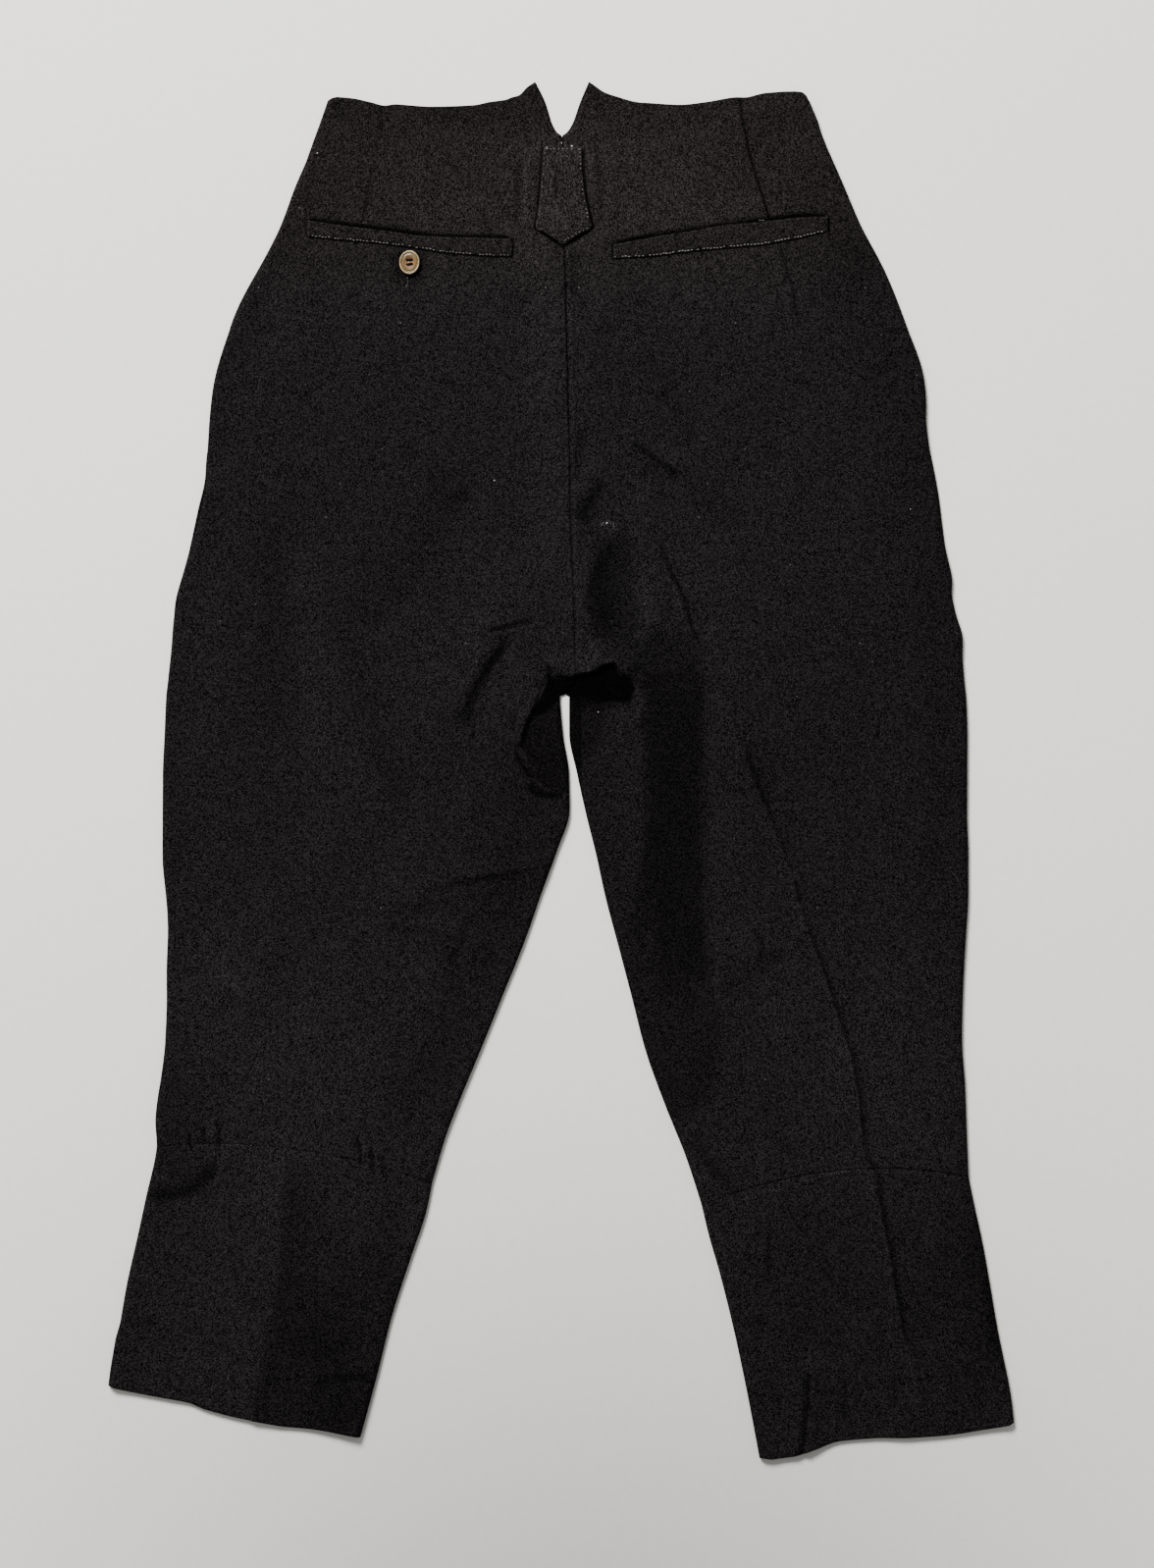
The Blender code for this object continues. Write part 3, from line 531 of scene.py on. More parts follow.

# Right leg, from the seat to the knee; the darker tones in its troughs, its hollow and along its right side
# are painted shade
RIGHT_FOLDS = {
    "seam_shade": Fold(-0.0011, 0.0032, 0.0032, ((0.016, 0.247), (0.013, 0.23), (0.01, 0.206)), -0.35),
    "seam_pit": Fold(
        -0.002, 0.0045, 0.0055, ((0.03, 0.212), (0.026, 0.2), (0.02, 0.19), (0.014, 0.178)), -0.55,
    ),
    "seam_bright": Fold(
        0.0009, 0.0014, 0.0014, ((0.027, 0.1775), (0.032, 0.1795), (0.0372, 0.1785), (0.0405, 0.1735)), 1.8,
        fade=0.1,
    ),
    "hollow_wall": Fold(
        -0.0026, 0.0035, 0.013, ((0.04, 0.181), (0.05, 0.16), (0.054, 0.13), (0.053, 0.104)),
    ),
    "hollow_shade": Fold(
        -0.0004, 0.01, 0.008,
        ((0.036, 0.174), (0.03, 0.15), (0.026, 0.1314), (0.03, 0.1135), (0.04, 0.094)), -0.42,
    ),
    "hollow_rim": Fold(
        0.001, 0.004, 0.005, ((0.029, 0.178), (0.02, 0.149), (0.016, 0.116), (0.029, 0.09)), 0.1,
    ),
    "arc_line": Fold(
        -0.0014, 0.002, 0.0034,
        ((0.05, 0.237), (0.058, 0.233), (0.066, 0.227), (0.076, 0.22), (0.088, 0.212)), -0.55,
    ),
    "arc_tail": Fold(-0.0009, 0.007, 0.009, ((0.084, 0.221), (0.107, 0.203), (0.134, 0.174)), -0.15),
    "upper_arc": Fold(
        -0.0009, 0.005, 0.007, ((0.051, 0.308), (0.079, 0.281), (0.091, 0.256), (0.1, 0.227)), -0.15,
    ),
    "crease_top": Fold(
        -0.0015, 0.0012, 0.0022,
        (
            (0.0715, 0.172), (0.075, 0.1571), (0.0807, 0.1424), (0.0878, 0.1299), (0.0921, 0.12),
            (0.0942, 0.1053), (0.1014, 0.0885),
        ), -0.6,
    ),
    "crease_press": Fold(
        0.0013, 0.0018, 0.0024,
        (
            (0.074, 0.164), (0.087, 0.117), (0.1, 0.086), (0.1268, 0.028), (0.1447, -0.021),
            (0.169, -0.083), (0.1755, -0.11), (0.189, -0.146), (0.2022, -0.186), (0.2112, -0.213),
            (0.2155, -0.24), (0.22, -0.28),
        ), 0.2, crisp=True, fade=0.05,
    ),
    "crease_mid": Fold(
        -0.0009, 0.0026, 0.001, ((0.1284, 0.03), (0.1462, -0.02), (0.16, -0.055), (0.1706, -0.083)), -0.32,
    ),
    "crease_dark_mid": Fold(-0.0011, 0.004, 0.006, ((0.133, 0.012), (0.144, -0.01), (0.153, -0.03)), -0.35),
    "crease_branch": Fold(0.0008, 0.002, 0.002, ((0.103, 0.092), (0.108, 0.097), (0.114, 0.104)), 0.6),
    "crease_low_tick": Fold(
        -0.001, 0.0018, 0.002, ((0.17, -0.08), (0.1712, -0.088), (0.1745, -0.099)), -0.65,
    ),
    "crease_low": Fold(
        -0.0013, 0.003, 0.001,
        (
            (0.176, -0.105), (0.1906, -0.145), (0.2039, -0.185), (0.2128, -0.212), (0.2171, -0.239),
            (0.2217, -0.279),
        ), -0.5, fade=0.08,
    ),
    "valley_wall": Fold(
        -0.0026, 0.0036, 0.026,
        ((0.103, 0.089), (0.106, 0.046), (0.107, -0.047), (0.109, -0.126), (0.107, -0.183)), -0.06,
    ),
    "valley_rim": Fold(
        0.0014, 0.01, 0.012, ((0.049, 0.06), (0.056, -0.004), (0.057, -0.061), (0.063, -0.126)),
    ),
    "thigh_spot": Fold(-0.0009, 0.007, 0.008, ((0.137, 0.019), (0.146, 0.003), (0.156, -0.016)), -0.2),
    "thigh_drag": Fold(-0.0007, 0.006, 0.006, ((0.113, -0.166), (0.139, -0.147), (0.167, -0.127)), -0.25),
    "thigh_tick": Fold(-0.0009, 0.0015, 0.002, ((0.1465, -0.12), (0.1462, -0.131), (0.144, -0.143)), -0.5),
    "right_side_shade": Fold(
        0.0, 0.018, 0.018,
        (
            (0.2, 0.41), (0.24, 0.31), (0.274, 0.15), (0.284, -0.01), (0.287, -0.225), (0.298, -0.354),
            (0.312, -0.48),
        ), -0.15, fade=0.05,
    ),
    "knee_drag_right": Fold(
        -0.001, 0.004, 0.005, ((0.094, -0.261), (0.107, -0.284), (0.129, -0.313)), -0.3,
    ),
    "knee_seam_pale": Fold(
        0.0003, 0.0018, 0.0018, ((0.126, -0.313), (0.1685, -0.302), (0.1935, -0.2935), (0.227, -0.287)),
        0.28,
    ),
    "knee_tick_right": Fold(
        -0.0009, 0.003, 0.003, ((0.156, -0.267), (0.164, -0.276), (0.173, -0.286)), -0.25,
    ),
}

# Below the knees; the darker tones in the troughs, the dent and the hem fold are painted shade
SHIN_FOLDS = {
    "shin_shade_right": Fold(
        -0.0013, 0.003, 0.001,
        (
            (0.221, -0.268), (0.2225, -0.283), (0.23, -0.295), (0.2325, -0.312), (0.236, -0.333),
            (0.2405, -0.354), (0.243, -0.372), (0.248, -0.401), (0.252, -0.422),
        ), -0.5, fade=0.1,
    ),
    "shin_press_right": Fold(
        0.0013, 0.0018, 0.0024,
        (
            (0.2265, -0.291), (0.23, -0.313), (0.2338, -0.335), (0.2382, -0.356), (0.2408, -0.374),
            (0.2456, -0.403), (0.2556, -0.44), (0.2663, -0.484),
        ), 0.16, crisp=True, fade=0.1,
    ),
    "shin_tick_right": Fold(
        -0.001, 0.0014, 0.0018, ((0.1525, -0.332), (0.1505, -0.355), (0.152, -0.376)), -0.5,
    ),
    "edge_band_right": Fold(-0.001, 0.005, 0.009, ((0.303, -0.318), (0.311, -0.376), (0.32, -0.44)), -0.35),
    "hem_fold_right": Fold(
        -0.0018, 0.0014, 0.0034, ((0.1805, -0.434), (0.1795, -0.461), (0.174, -0.511)), -0.6,
    ),
    "hem_tick_one": Fold(
        -0.0007, 0.0014, 0.002, ((0.208, -0.445), (0.206, -0.463), (0.2065, -0.478)), -0.3,
    ),
    "hem_tick_two": Fold(
        0.0006, 0.0016, 0.0016, ((0.219, -0.436), (0.2205, -0.452), (0.219, -0.462)), 0.25,
    ),
    "hem_tick_three": Fold(
        -0.0008, 0.0014, 0.0022, ((0.242, -0.438), (0.2435, -0.452), (0.2425, -0.466)), -0.3,
    ),
    "hem_tick_four": Fold(
        0.0006, 0.0016, 0.0016, ((0.198, -0.462), (0.199, -0.471), (0.1975, -0.484)), 0.2,
    ),
    "shin_press_left": Fold(
        0.0019, 0.024, 0.003,
        ((-0.199, -0.268), (-0.201, -0.318), (-0.204, -0.373), (-0.221, -0.454), (-0.228, -0.504)), -0.25,
    ),
    "dent_left": Fold(
        -0.0021, 0.0045, 0.006,
        ((-0.25, -0.284), (-0.254, -0.293), (-0.2635, -0.303), (-0.28, -0.309), (-0.301, -0.312)), -0.6,
    ),
    "knee_tick_left": Fold(
        -0.0008, 0.0012, 0.0018, ((-0.248, -0.254), (-0.249, -0.266), (-0.2475, -0.276)), -0.6,
    ),
    "knee_tick_left_pale": Fold(
        0.0006, 0.0011, 0.0011, ((-0.253, -0.251), (-0.254, -0.264), (-0.2535, -0.272)), 0.35,
    ),
    "knee_tick_left_two": Fold(
        -0.0008, 0.0012, 0.0016, ((-0.259, -0.259), (-0.2605, -0.267), (-0.26, -0.274)), -0.6,
    ),
    "knee_tick_left_three": Fold(
        -0.0006, 0.0011, 0.0014, ((-0.269, -0.262), (-0.27, -0.269), (-0.268, -0.279)), -0.5,
    ),
    "knee_pucker_one": Fold(
        -0.0008, 0.0013, 0.0018, ((-0.149, -0.266), (-0.146, -0.279), (-0.1455, -0.29)), -0.6,
    ),
    "knee_pucker_pale": Fold(
        0.0007, 0.0012, 0.0012, ((-0.1435, -0.264), (-0.1425, -0.277), (-0.14, -0.287)), 0.35,
    ),
    "knee_pucker_two": Fold(
        -0.0008, 0.0012, 0.0016, ((-0.139, -0.273), (-0.137, -0.286), (-0.1365, -0.296)), -0.6,
    ),
    "knee_pucker_three": Fold(
        -0.0006, 0.0012, 0.0016, ((-0.13, -0.28), (-0.1285, -0.29), (-0.129, -0.297)), -0.45,
    ),
    "shin_pool_left": Fold(
        -0.0011, 0.009, 0.009, ((-0.194, -0.416), (-0.176, -0.421), (-0.154, -0.428)), -0.25,
    ),
    "hem_drag_left": Fold(
        -0.001, 0.003, 0.005, ((-0.181, -0.447), (-0.161, -0.443), (-0.134, -0.44)), -0.3,
    ),
}

# Waist, darts and what pulls at the tab and the button, with painted shade in the pocket mouths and round the
# tab's point
WAIST_FOLDS = {
    "waist_arc_left": Fold(
        -0.0008, 0.006, 0.006, ((-0.043, 0.327), (-0.03, 0.337), (-0.016, 0.351)), -0.15,
    ),
    "seam_spot": Fold(-0.0008, 0.0045, 0.0045, ((0.01, 0.378), (0.009, 0.36), (0.009, 0.34)), -0.3),
    "tab_streak_left": Fold(
        -0.0004, 0.0024, 0.0024, ((-0.03, 0.447), (-0.031, 0.42), (-0.033, 0.388)), -0.3,
    ),
    "tab_streak_left_two": Fold(
        0.0004, 0.0024, 0.0024, ((-0.024, 0.453), (-0.026, 0.417), (-0.027, 0.384)), 0.25,
    ),
    "tab_streak_right": Fold(
        -0.0005, 0.0024, 0.0024, ((0.024, 0.46), (0.029, 0.424), (0.029, 0.391)), -0.3,
    ),
    "tab_streak_right_two": Fold(
        0.0004, 0.0024, 0.0024, ((0.034, 0.446), (0.036, 0.417), (0.034, 0.384)), 0.15,
    ),
    "dart_right": Fold(
        -0.0008, 0.001, 0.0012,
        ((0.1285, 0.5), (0.1315, 0.474), (0.137, 0.446), (0.144, 0.424), (0.1515, 0.4)), -0.8, fade=0.02,
    ),
    "dart_right_low": Fold(
        -0.0005, 0.001, 0.0012, ((0.158, 0.387), (0.161, 0.373), (0.168, 0.35), (0.173, 0.32)), -0.55,
    ),
    "dart_left": Fold(
        -0.0005, 0.001, 0.0012,
        ((-0.129, 0.494), (-0.131, 0.474), (-0.136, 0.441), (-0.141, 0.418), (-0.145, 0.39)), -0.4,
        fade=0.03,
    ),
    "button_pull": Fold(-0.0005, 0.0024, 0.0024, ((-0.111, 0.363), (-0.109, 0.346), (-0.1, 0.33)), -0.25),
    "worn_beside_seam": Fold(
        0.0, 0.016, 0.016, ((-0.014, 0.43), (-0.013, 0.33), (-0.01, 0.23), (-0.008, 0.12)), 0.14,
    ),
    "mouth_left_deep": Fold(
        -0.001, 0.0018, 0.001, ((-0.172, 0.3978), (-0.15, 0.395), (-0.125, 0.3922), (-0.095, 0.388)), -0.8,
    ),
    "mouth_right_deep": Fold(
        -0.001, 0.0018, 0.001, ((0.128, 0.3972), (0.15, 0.3995), (0.17, 0.402), (0.192, 0.4024)), -0.8,
    ),
    "mouth_right_start": Fold(
        -0.0008, 0.0017, 0.001, ((0.037, 0.382), (0.052, 0.3846), (0.068, 0.3876)), -0.8,
    ),
    "tab_point": Fold(
        -0.001, 0.0013, 0.0013,
        ((-0.0205, 0.3945), (-0.01, 0.3868), (0.0012, 0.3793), (0.0125, 0.3858), (0.024, 0.394)), -0.9,
        fade=0.03,
    ),
}

# Creases of the fronts, which lift them off the floor, and the shade at the head of the slit
FRONT_FOLDS = {
    "front_drag_left": Fold(
        0.001, 0.005, 0.008, ((-0.014, 0.078), (-0.062, 0.118), (-0.118, 0.143)), -0.15,
    ),
    "front_drag_left_low": Fold(
        0.0007, 0.004, 0.006, ((-0.03, 0.046), (-0.078, 0.06), (-0.136, 0.056)), -0.12,
    ),
    "front_drag_left_high": Fold(
        0.0006, 0.005, 0.006, ((-0.014, 0.104), (-0.04, 0.156), (-0.071, 0.222)), -0.1,
    ),
    "front_drag_right": Fold(0.001, 0.007, 0.005, ((0.024, 0.074), (0.079, 0.101), (0.146, 0.111)), -0.15),
    "front_drag_right_high": Fold(
        0.0007, 0.005, 0.007, ((0.018, 0.101), (0.055, 0.147), (0.101, 0.186)), -0.12,
    ),
    "front_hip_left": Fold(
        0.0008, 0.009, 0.013, ((-0.224, 0.292), (-0.161, 0.263), (-0.102, 0.271)), -0.06,
    ),
    "front_hip_right": Fold(0.0007, 0.012, 0.009, ((0.236, 0.304), (0.182, 0.287), (0.117, 0.249)), -0.06),
    "front_press_left": Fold(
        0.001, 0.004, 0.006, ((-0.149, 0.186), (-0.163, 0.052), (-0.179, -0.091), (-0.191, -0.243)), -0.12,
    ),
    "front_press_right": Fold(
        0.001, 0.006, 0.004, ((0.158, 0.151), (0.178, 0.012), (0.193, -0.112), (0.196, -0.236)), -0.12,
    ),
    "front_knee_left": Fold(
        0.0008, 0.004, 0.005, ((-0.264, -0.204), (-0.217, -0.222), (-0.158, -0.213)), -0.12,
    ),
    "front_knee_left_two": Fold(
        0.0006, 0.004, 0.005, ((-0.243, -0.166), (-0.206, -0.181), (-0.171, -0.177)), -0.1,
    ),
    "front_knee_right": Fold(
        0.0008, 0.005, 0.004, ((0.27, -0.231), (0.214, -0.241), (0.149, -0.221)), -0.12,
    ),
    "front_knee_right_two": Fold(
        0.0006, 0.004, 0.004, ((0.251, -0.184), (0.216, -0.197), (0.178, -0.189)), -0.1,
    ),
    "front_shin_left": Fold(
        0.001, 0.004, 0.006, ((-0.206, -0.288), (-0.213, -0.371), (-0.227, -0.452)), -0.1,
    ),
    "front_shin_right": Fold(
        0.001, 0.006, 0.004, ((0.211, -0.313), (0.223, -0.392), (0.229, -0.466)), -0.1,
    ),
    "front_beside_fly": Fold(
        0.0005, 0.004, 0.004, ((-0.037, 0.398), (-0.035, 0.331), (-0.03, 0.282)), -0.1,
    ),
}
SLIT_SHADE = Area(
    0.0, -0.88, 0.0012, ((-0.005, 0.051), (0.012, 0.051), (0.013, 0.07), (0.002, 0.07)),
)

# Paler and darker areas of the cloth; the darker ones round the button, in the hollows at the knees and hems
# and along the legs' right edges are painted shade
PATCHES = {
    "tab_surround": Patch(0.0, 0.42, 0.05, 0.05, 0.3),
    "button_shade": Patch(-0.1105, 0.367, 0.0108, 0.0114, -0.96),
    "left_shin": Patch(-0.24, -0.4, 0.05, 0.11, 0.12),
    "left_shin_inner": Patch(-0.165, -0.43, 0.045, 0.07, -0.38),
    "right_shin": Patch(0.18, -0.36, 0.05, 0.12, -0.16),
    "left_thigh_spot": Patch(-0.119, -0.0135, 0.01, 0.013, -0.25),
    "left_knee_worn": Patch(-0.245, -0.14, 0.024, 0.04, 0.1),
    "left_thigh_side": Patch(-0.272, 0.1, 0.026, 0.1, 0.14),
    "left_thigh_worn": Patch(-0.144, 0.017, 0.05, 0.1, 0.13),
    "left_knee_side": Patch(-0.282, -0.265, 0.04, 0.07, -0.24),
    "left_knee_inner": Patch(-0.11, -0.255, 0.034, 0.055, -0.2),
    "left_hem_inner": Patch(-0.155, -0.47, 0.036, 0.026, -0.28),
    "left_shin_edge": Patch(-0.125, -0.37, 0.018, 0.05, -0.18),
    "right_lower_side": Patch(0.28, -0.39, 0.045, 0.11, -0.17),
    "right_leg_inner": Patch(0.043, -0.085, 0.02, 0.07, -0.16),
    "lip_worn": Patch(0.018, 0.082, 0.012, 0.01, 0.2),
    "seat_left_worn": Patch(-0.055, 0.11, 0.08, 0.07, 0.12),
    "seat_middle_worn": Patch(0.0, 0.28, 0.03, 0.08, 0.13),
    "seat_right_worn": Patch(0.11, 0.14, 0.08, 0.07, 0.13),
    "right_hip_side": Patch(0.19, 0.25, 0.07, 0.12, 0.05),
    "waist_top_left": Patch(-0.11, 0.494, 0.11, 0.024, -0.34),
    "waist_top_right": Patch(0.09, 0.496, 0.09, 0.018, -0.14),
    "waist_left_worn": Patch(-0.094, 0.396, 0.045, 0.055, 0.15),
    "waist_right_worn": Patch(0.094, 0.405, 0.065, 0.055, 0.25),
    "waist_right_side": Patch(0.205, 0.38, 0.03, 0.1, -0.14),
    "knee_right_inner": Patch(0.11, -0.22, 0.05, 0.055, -0.18),
}

# Height along the garment and how pale the cloth is there
TONE_BY_HEIGHT = (
    (-0.5, 1.16), (-0.38, 1.2), (-0.28, 1.35), (-0.2, 1.38), (-0.1, 1.15), (0.0, 1.05),
    (0.15, 1.06), (0.3, 1.1), (0.38, 1.32), (0.5, 1.4),
)

# Pocket welts along their mouths, from left to right
LEFT_WELT = (
    WeltSection(-0.184, 0.3985, 0.387),
    WeltSection(-0.159, 0.395, 0.3845),
    WeltSection(-0.125, 0.3908, 0.3812),
    WeltSection(-0.105, 0.3878, 0.3785),
    WeltSection(-0.085, 0.3865, 0.3752),
    WeltSection(-0.06, 0.386, 0.3733),
    WeltSection(-0.036, 0.3853, 0.3722),
)
RIGHT_WELT = (
    WeltSection(0.038, 0.3812, 0.371),
    WeltSection(0.066, 0.3863, 0.3726),
    WeltSection(0.094, 0.3908, 0.3762),
    WeltSection(0.119, 0.3953, 0.3785),
    WeltSection(0.144, 0.3975, 0.3808),
    WeltSection(0.166, 0.4, 0.3845),
    WeltSection(0.181, 0.4013, 0.3878),
    WeltSection(0.1935, 0.4013, 0.391),
)

# Pointed patch below the notch of the waist
TAB = (
    TabSection(0.452, -0.0125, 0.015),
    TabSection(0.443, -0.0135, 0.015),
    TabSection(0.428, -0.0145, 0.016),
    TabSection(0.415, -0.0155, 0.0175),
    TabSection(0.404, -0.017, 0.02),
    TabSection(0.394, -0.0185, 0.0222),
    TabSection(0.39, -0.0125, 0.016),
    TabSection(0.386, -0.0062, 0.009),
    TabSection(0.3815, 0.0, 0.0022),
)
TAB_SIDE_ROWS = 6

# Half outline of the button, from the middle of its face to the middle of its back
BUTTON_PROFILE = (
    Ring(0.0, 0.0009),
    Ring(0.002, 0.0009),
    Ring(0.003, 0.0012),
    Ring(0.0037, 0.002),
    Ring(0.0042, 0.0026),
    Ring(0.0049, 0.0028),
    Ring(0.0056, 0.0027),
    Ring(0.0062, 0.0023),
    Ring(0.0066, 0.0024),
    Ring(0.0071, 0.0032),
    Ring(0.0077, 0.0033),
    Ring(0.0081, 0.0028),
    Ring(0.0083, 0.0021),
    Ring(0.0079, 0.0011),
    Ring(0.007, 0.0003),
    Ring(0.0062, 0.0),
    Ring(0.0, 0.0),
)


def smoothstep(start: float, end: float, value: np.ndarray) -> np.ndarray:
    """A smooth rise from 0 to 1.

    Args:
        start: Value where the rise begins.
        end: Value where it ends.
        value: Where to read it.

    Returns:
        The height of the rise at each value.
    """
    share = np.clip((value - start) / (end - start), 0.0, 1.0)
    return share * share * (3 - 2 * share)


def bell(distance: np.ndarray, reach: float) -> np.ndarray:
    """A soft bump of height 1 that has faded at about twice its reach."""
    return np.exp(-((distance / reach) ** 2))


def mix(start: np.ndarray, end: np.ndarray, share: np.ndarray) -> np.ndarray:
    """The value at a share of the way from start to end."""
    return start + (end - start) * share


def slope_between(first: np.ndarray, second: np.ndarray) -> np.ndarray:
    """The slope at a row between two rises, which is level where they turn."""
    total = np.where(first + second == 0, 1.0, first + second)
    return np.where(first * second > 0, 2 * first * second / total, 0.0)


def eased_rows(table: np.ndarray, place: np.ndarray) -> np.ndarray:
    """Rows of a table between its own rows, on a smooth curve that doesn't overshoot.

    Args:
        table: Rows of values.
        place: Places along the rows, where whole numbers are the rows themselves.

    Returns:
        One row of values for each place.
    """
    last = len(table) - 1
    row = np.minimum(place.astype(int), last - 1)
    before, start = table[np.maximum(row - 1, 0)], table[row]
    end, after = table[row + 1], table[np.minimum(row + 2, last)]
    share = (place - row)[:, None]
    rise = end - start
    leave, arrive = slope_between(start - before, rise), slope_between(rise, after - end)
    curve = 3 * rise - 2 * leave - arrive + share * (leave + arrive - 2 * rise)
    return start + share * (leave + share * curve)


def eased_line(line: tuple[Point, ...], place: np.ndarray) -> np.ndarray:
    """Values of a line of places and values, on a smooth curve through its own points."""
    known = np.array(line)
    return eased_rows(known[:, 1:], np.interp(place, known[:, 0], np.arange(len(known))))[:, 0]


def near_path(path: tuple[Point, ...], x: np.ndarray, y: np.ndarray) -> tuple[np.ndarray, ...]:
    """Where points are beside a path.

    Args:
        path: Corners of the path.
        x: X of the points.
        y: Y of the points.

    Returns:
        Distance from the path, share of the way along it, and a positive number on its left.
    """
    lengths = [math.dist(start, end) for start, end in zip(path, path[1:])]
    nearest = np.full(x.shape, np.inf)
    share, left = np.zeros(x.shape), np.zeros(x.shape)
    passed = 0.0
    for (start_x, start_y), (end_x, end_y), length in zip(path, path[1:], lengths):
        run_x, run_y = end_x - start_x, end_y - start_y
        along = ((x - start_x) * run_x + (y - start_y) * run_y) / length**2
        along = np.clip(along, 0.0, 1.0)
        apart = np.hypot(x - start_x - run_x * along, y - start_y - run_y * along)
        closer = apart < nearest
        nearest = np.where(closer, apart, nearest)
        share = np.where(closer, (passed + along * length) / sum(lengths), share)
        left = np.where(closer, run_x * (y - start_y) - run_y * (x - start_x), left)
        passed += length
    return nearest, share, left


class FoldMap:
    """Adds up folds, patches and areas for many points at once."""

    KINK = 0.0004
    REACH = 3.0
    FINE_SHARE = 0.38
    FINE_CORE = 1.4
    AREA_SHARE = 0.7
    COARSENING = 0.45

    def __init__(self, folds: list[Fold], patches: list[Patch], areas: list[Area]) -> None:
        """Keeps the folds, patches and areas that it adds up."""
        self.folds = folds
        self.patches = patches
        self.areas = areas

    @staticmethod
    def close_to(path: tuple[Point, ...], reach: float, x: np.ndarray, y: np.ndarray) -> np.ndarray:
        """Which points lie in the box round a path, widened by a reach."""
        xs, ys = zip(*path)
        close = (x > min(xs) - reach) & (x < max(xs) + reach)
        return close & (y > min(ys) - reach) & (y < max(ys) + reach)

    @staticmethod
    def inside(area: Area, x: np.ndarray, y: np.ndarray) -> np.ndarray:
        """How far inside an area each point is, negative outside it."""
        closed = area.outline + area.outline[:1]
        within = np.zeros(x.shape, dtype=bool)
        for (start_x, start_y), (end_x, end_y) in zip(closed, closed[1:]):
            if start_y != end_y:
                crossing = start_x + (y - start_y) * (end_x - start_x) / (end_y - start_y)
                within ^= ((start_y > y) != (end_y > y)) & (x < crossing)
        return np.where(within, 1, -1) * near_path(closed, x, y)[0]

    def shaded(self, x: np.ndarray, y: np.ndarray) -> tuple[np.ndarray, np.ndarray]:
        """Height and painted shade that the areas add at each point."""
        rise, tone = np.zeros(x.shape), np.ones(x.shape)
        for area in self.areas:
            strength = smoothstep(-area.softness, area.softness, self.inside(area, x, y))
            rise += area.rise * strength
            tone *= 1 + area.tone * strength
        return rise, tone

    def profile(self, fold: Fold, x: np.ndarray, y: np.ndarray) -> np.ndarray:
        """Strength of one fold at each point, from 0 to 1.

        Args:
            fold: The fold.
            x: X of the points.
            y: Y of the points.

        Returns:
            Its share of its full rise.
        """
        close = self.close_to(fold.path, self.REACH * max(fold.left, fold.right), x, y)
        strength = np.zeros(x.shape)
        if not close.any():
            return strength
        distance, share, left = near_path(fold.path, x[close], y[close])
        spread = np.where(left > 0, fold.left, fold.right)
        if fold.crisp:
            rounded = np.sqrt(distance**2 + self.KINK**2) - self.KINK
            shape = np.exp(-rounded / spread)
        else:
            shape = np.exp(-((distance / spread) ** 2))
        ends = smoothstep(0, fold.fade, share) * smoothstep(0, fold.fade, 1 - share)
        strength[close] = shape * ends
        return strength

    def rise_and_tone(self, x: np.ndarray, y: np.ndarray) -> tuple[np.ndarray, np.ndarray]:
        """Height and paleness that the folds and patches add.

        Args:
            x: X of the points.
            y: Y of the points.

        Returns:
            Rise in metres, and the factor by which the cloth is paler, which holds wear, painted light and
            painted shade.
        """
        rise, tone = self.shaded(x, y)
        for fold in self.folds:
            strength = self.profile(fold, x, y)
            rise += fold.rise * strength
            tone *= 1 + fold.tone * strength
        for patch in self.patches:
            oval = np.hypot((x - patch.x) / patch.reach_x, (y - patch.y) / patch.reach_y)
            tone *= 1 + patch.tone * np.exp(-(oval**2))
        return rise, tone

    def pitch(self, x: np.ndarray, y: np.ndarray, finest: float, coarsest: float) -> np.ndarray:
        """How close together the points have to be for the folds to show.

        Args:
            x: X of the points.
            y: Y of the points.
            finest: Least pitch.
            coarsest: Greatest pitch.

        Returns:
            The pitch at each point, in metres.
        """
        wanted = np.full(x.shape, coarsest)
        for fold in self.folds:
            spread = min(fold.left, fold.right)
            close = self.close_to(fold.path, 2 * spread + self.REACH * coarsest, x, y)
            if not close.any():
                continue
            distance = near_path(fold.path, x[close], y[close])[0]
            beyond = np.maximum(distance - self.FINE_CORE * spread, 0.0)
            local = self.FINE_SHARE * spread + self.COARSENING * beyond
            wanted[close] = np.minimum(wanted[close], local)
        for area in self.areas:
            apart = np.abs(self.inside(area, x, y))
            beyond = np.maximum(apart - area.softness, 0.0)
            wanted = np.minimum(wanted, self.AREA_SHARE * area.softness + self.COARSENING * beyond)
        return np.maximum(wanted, finest)


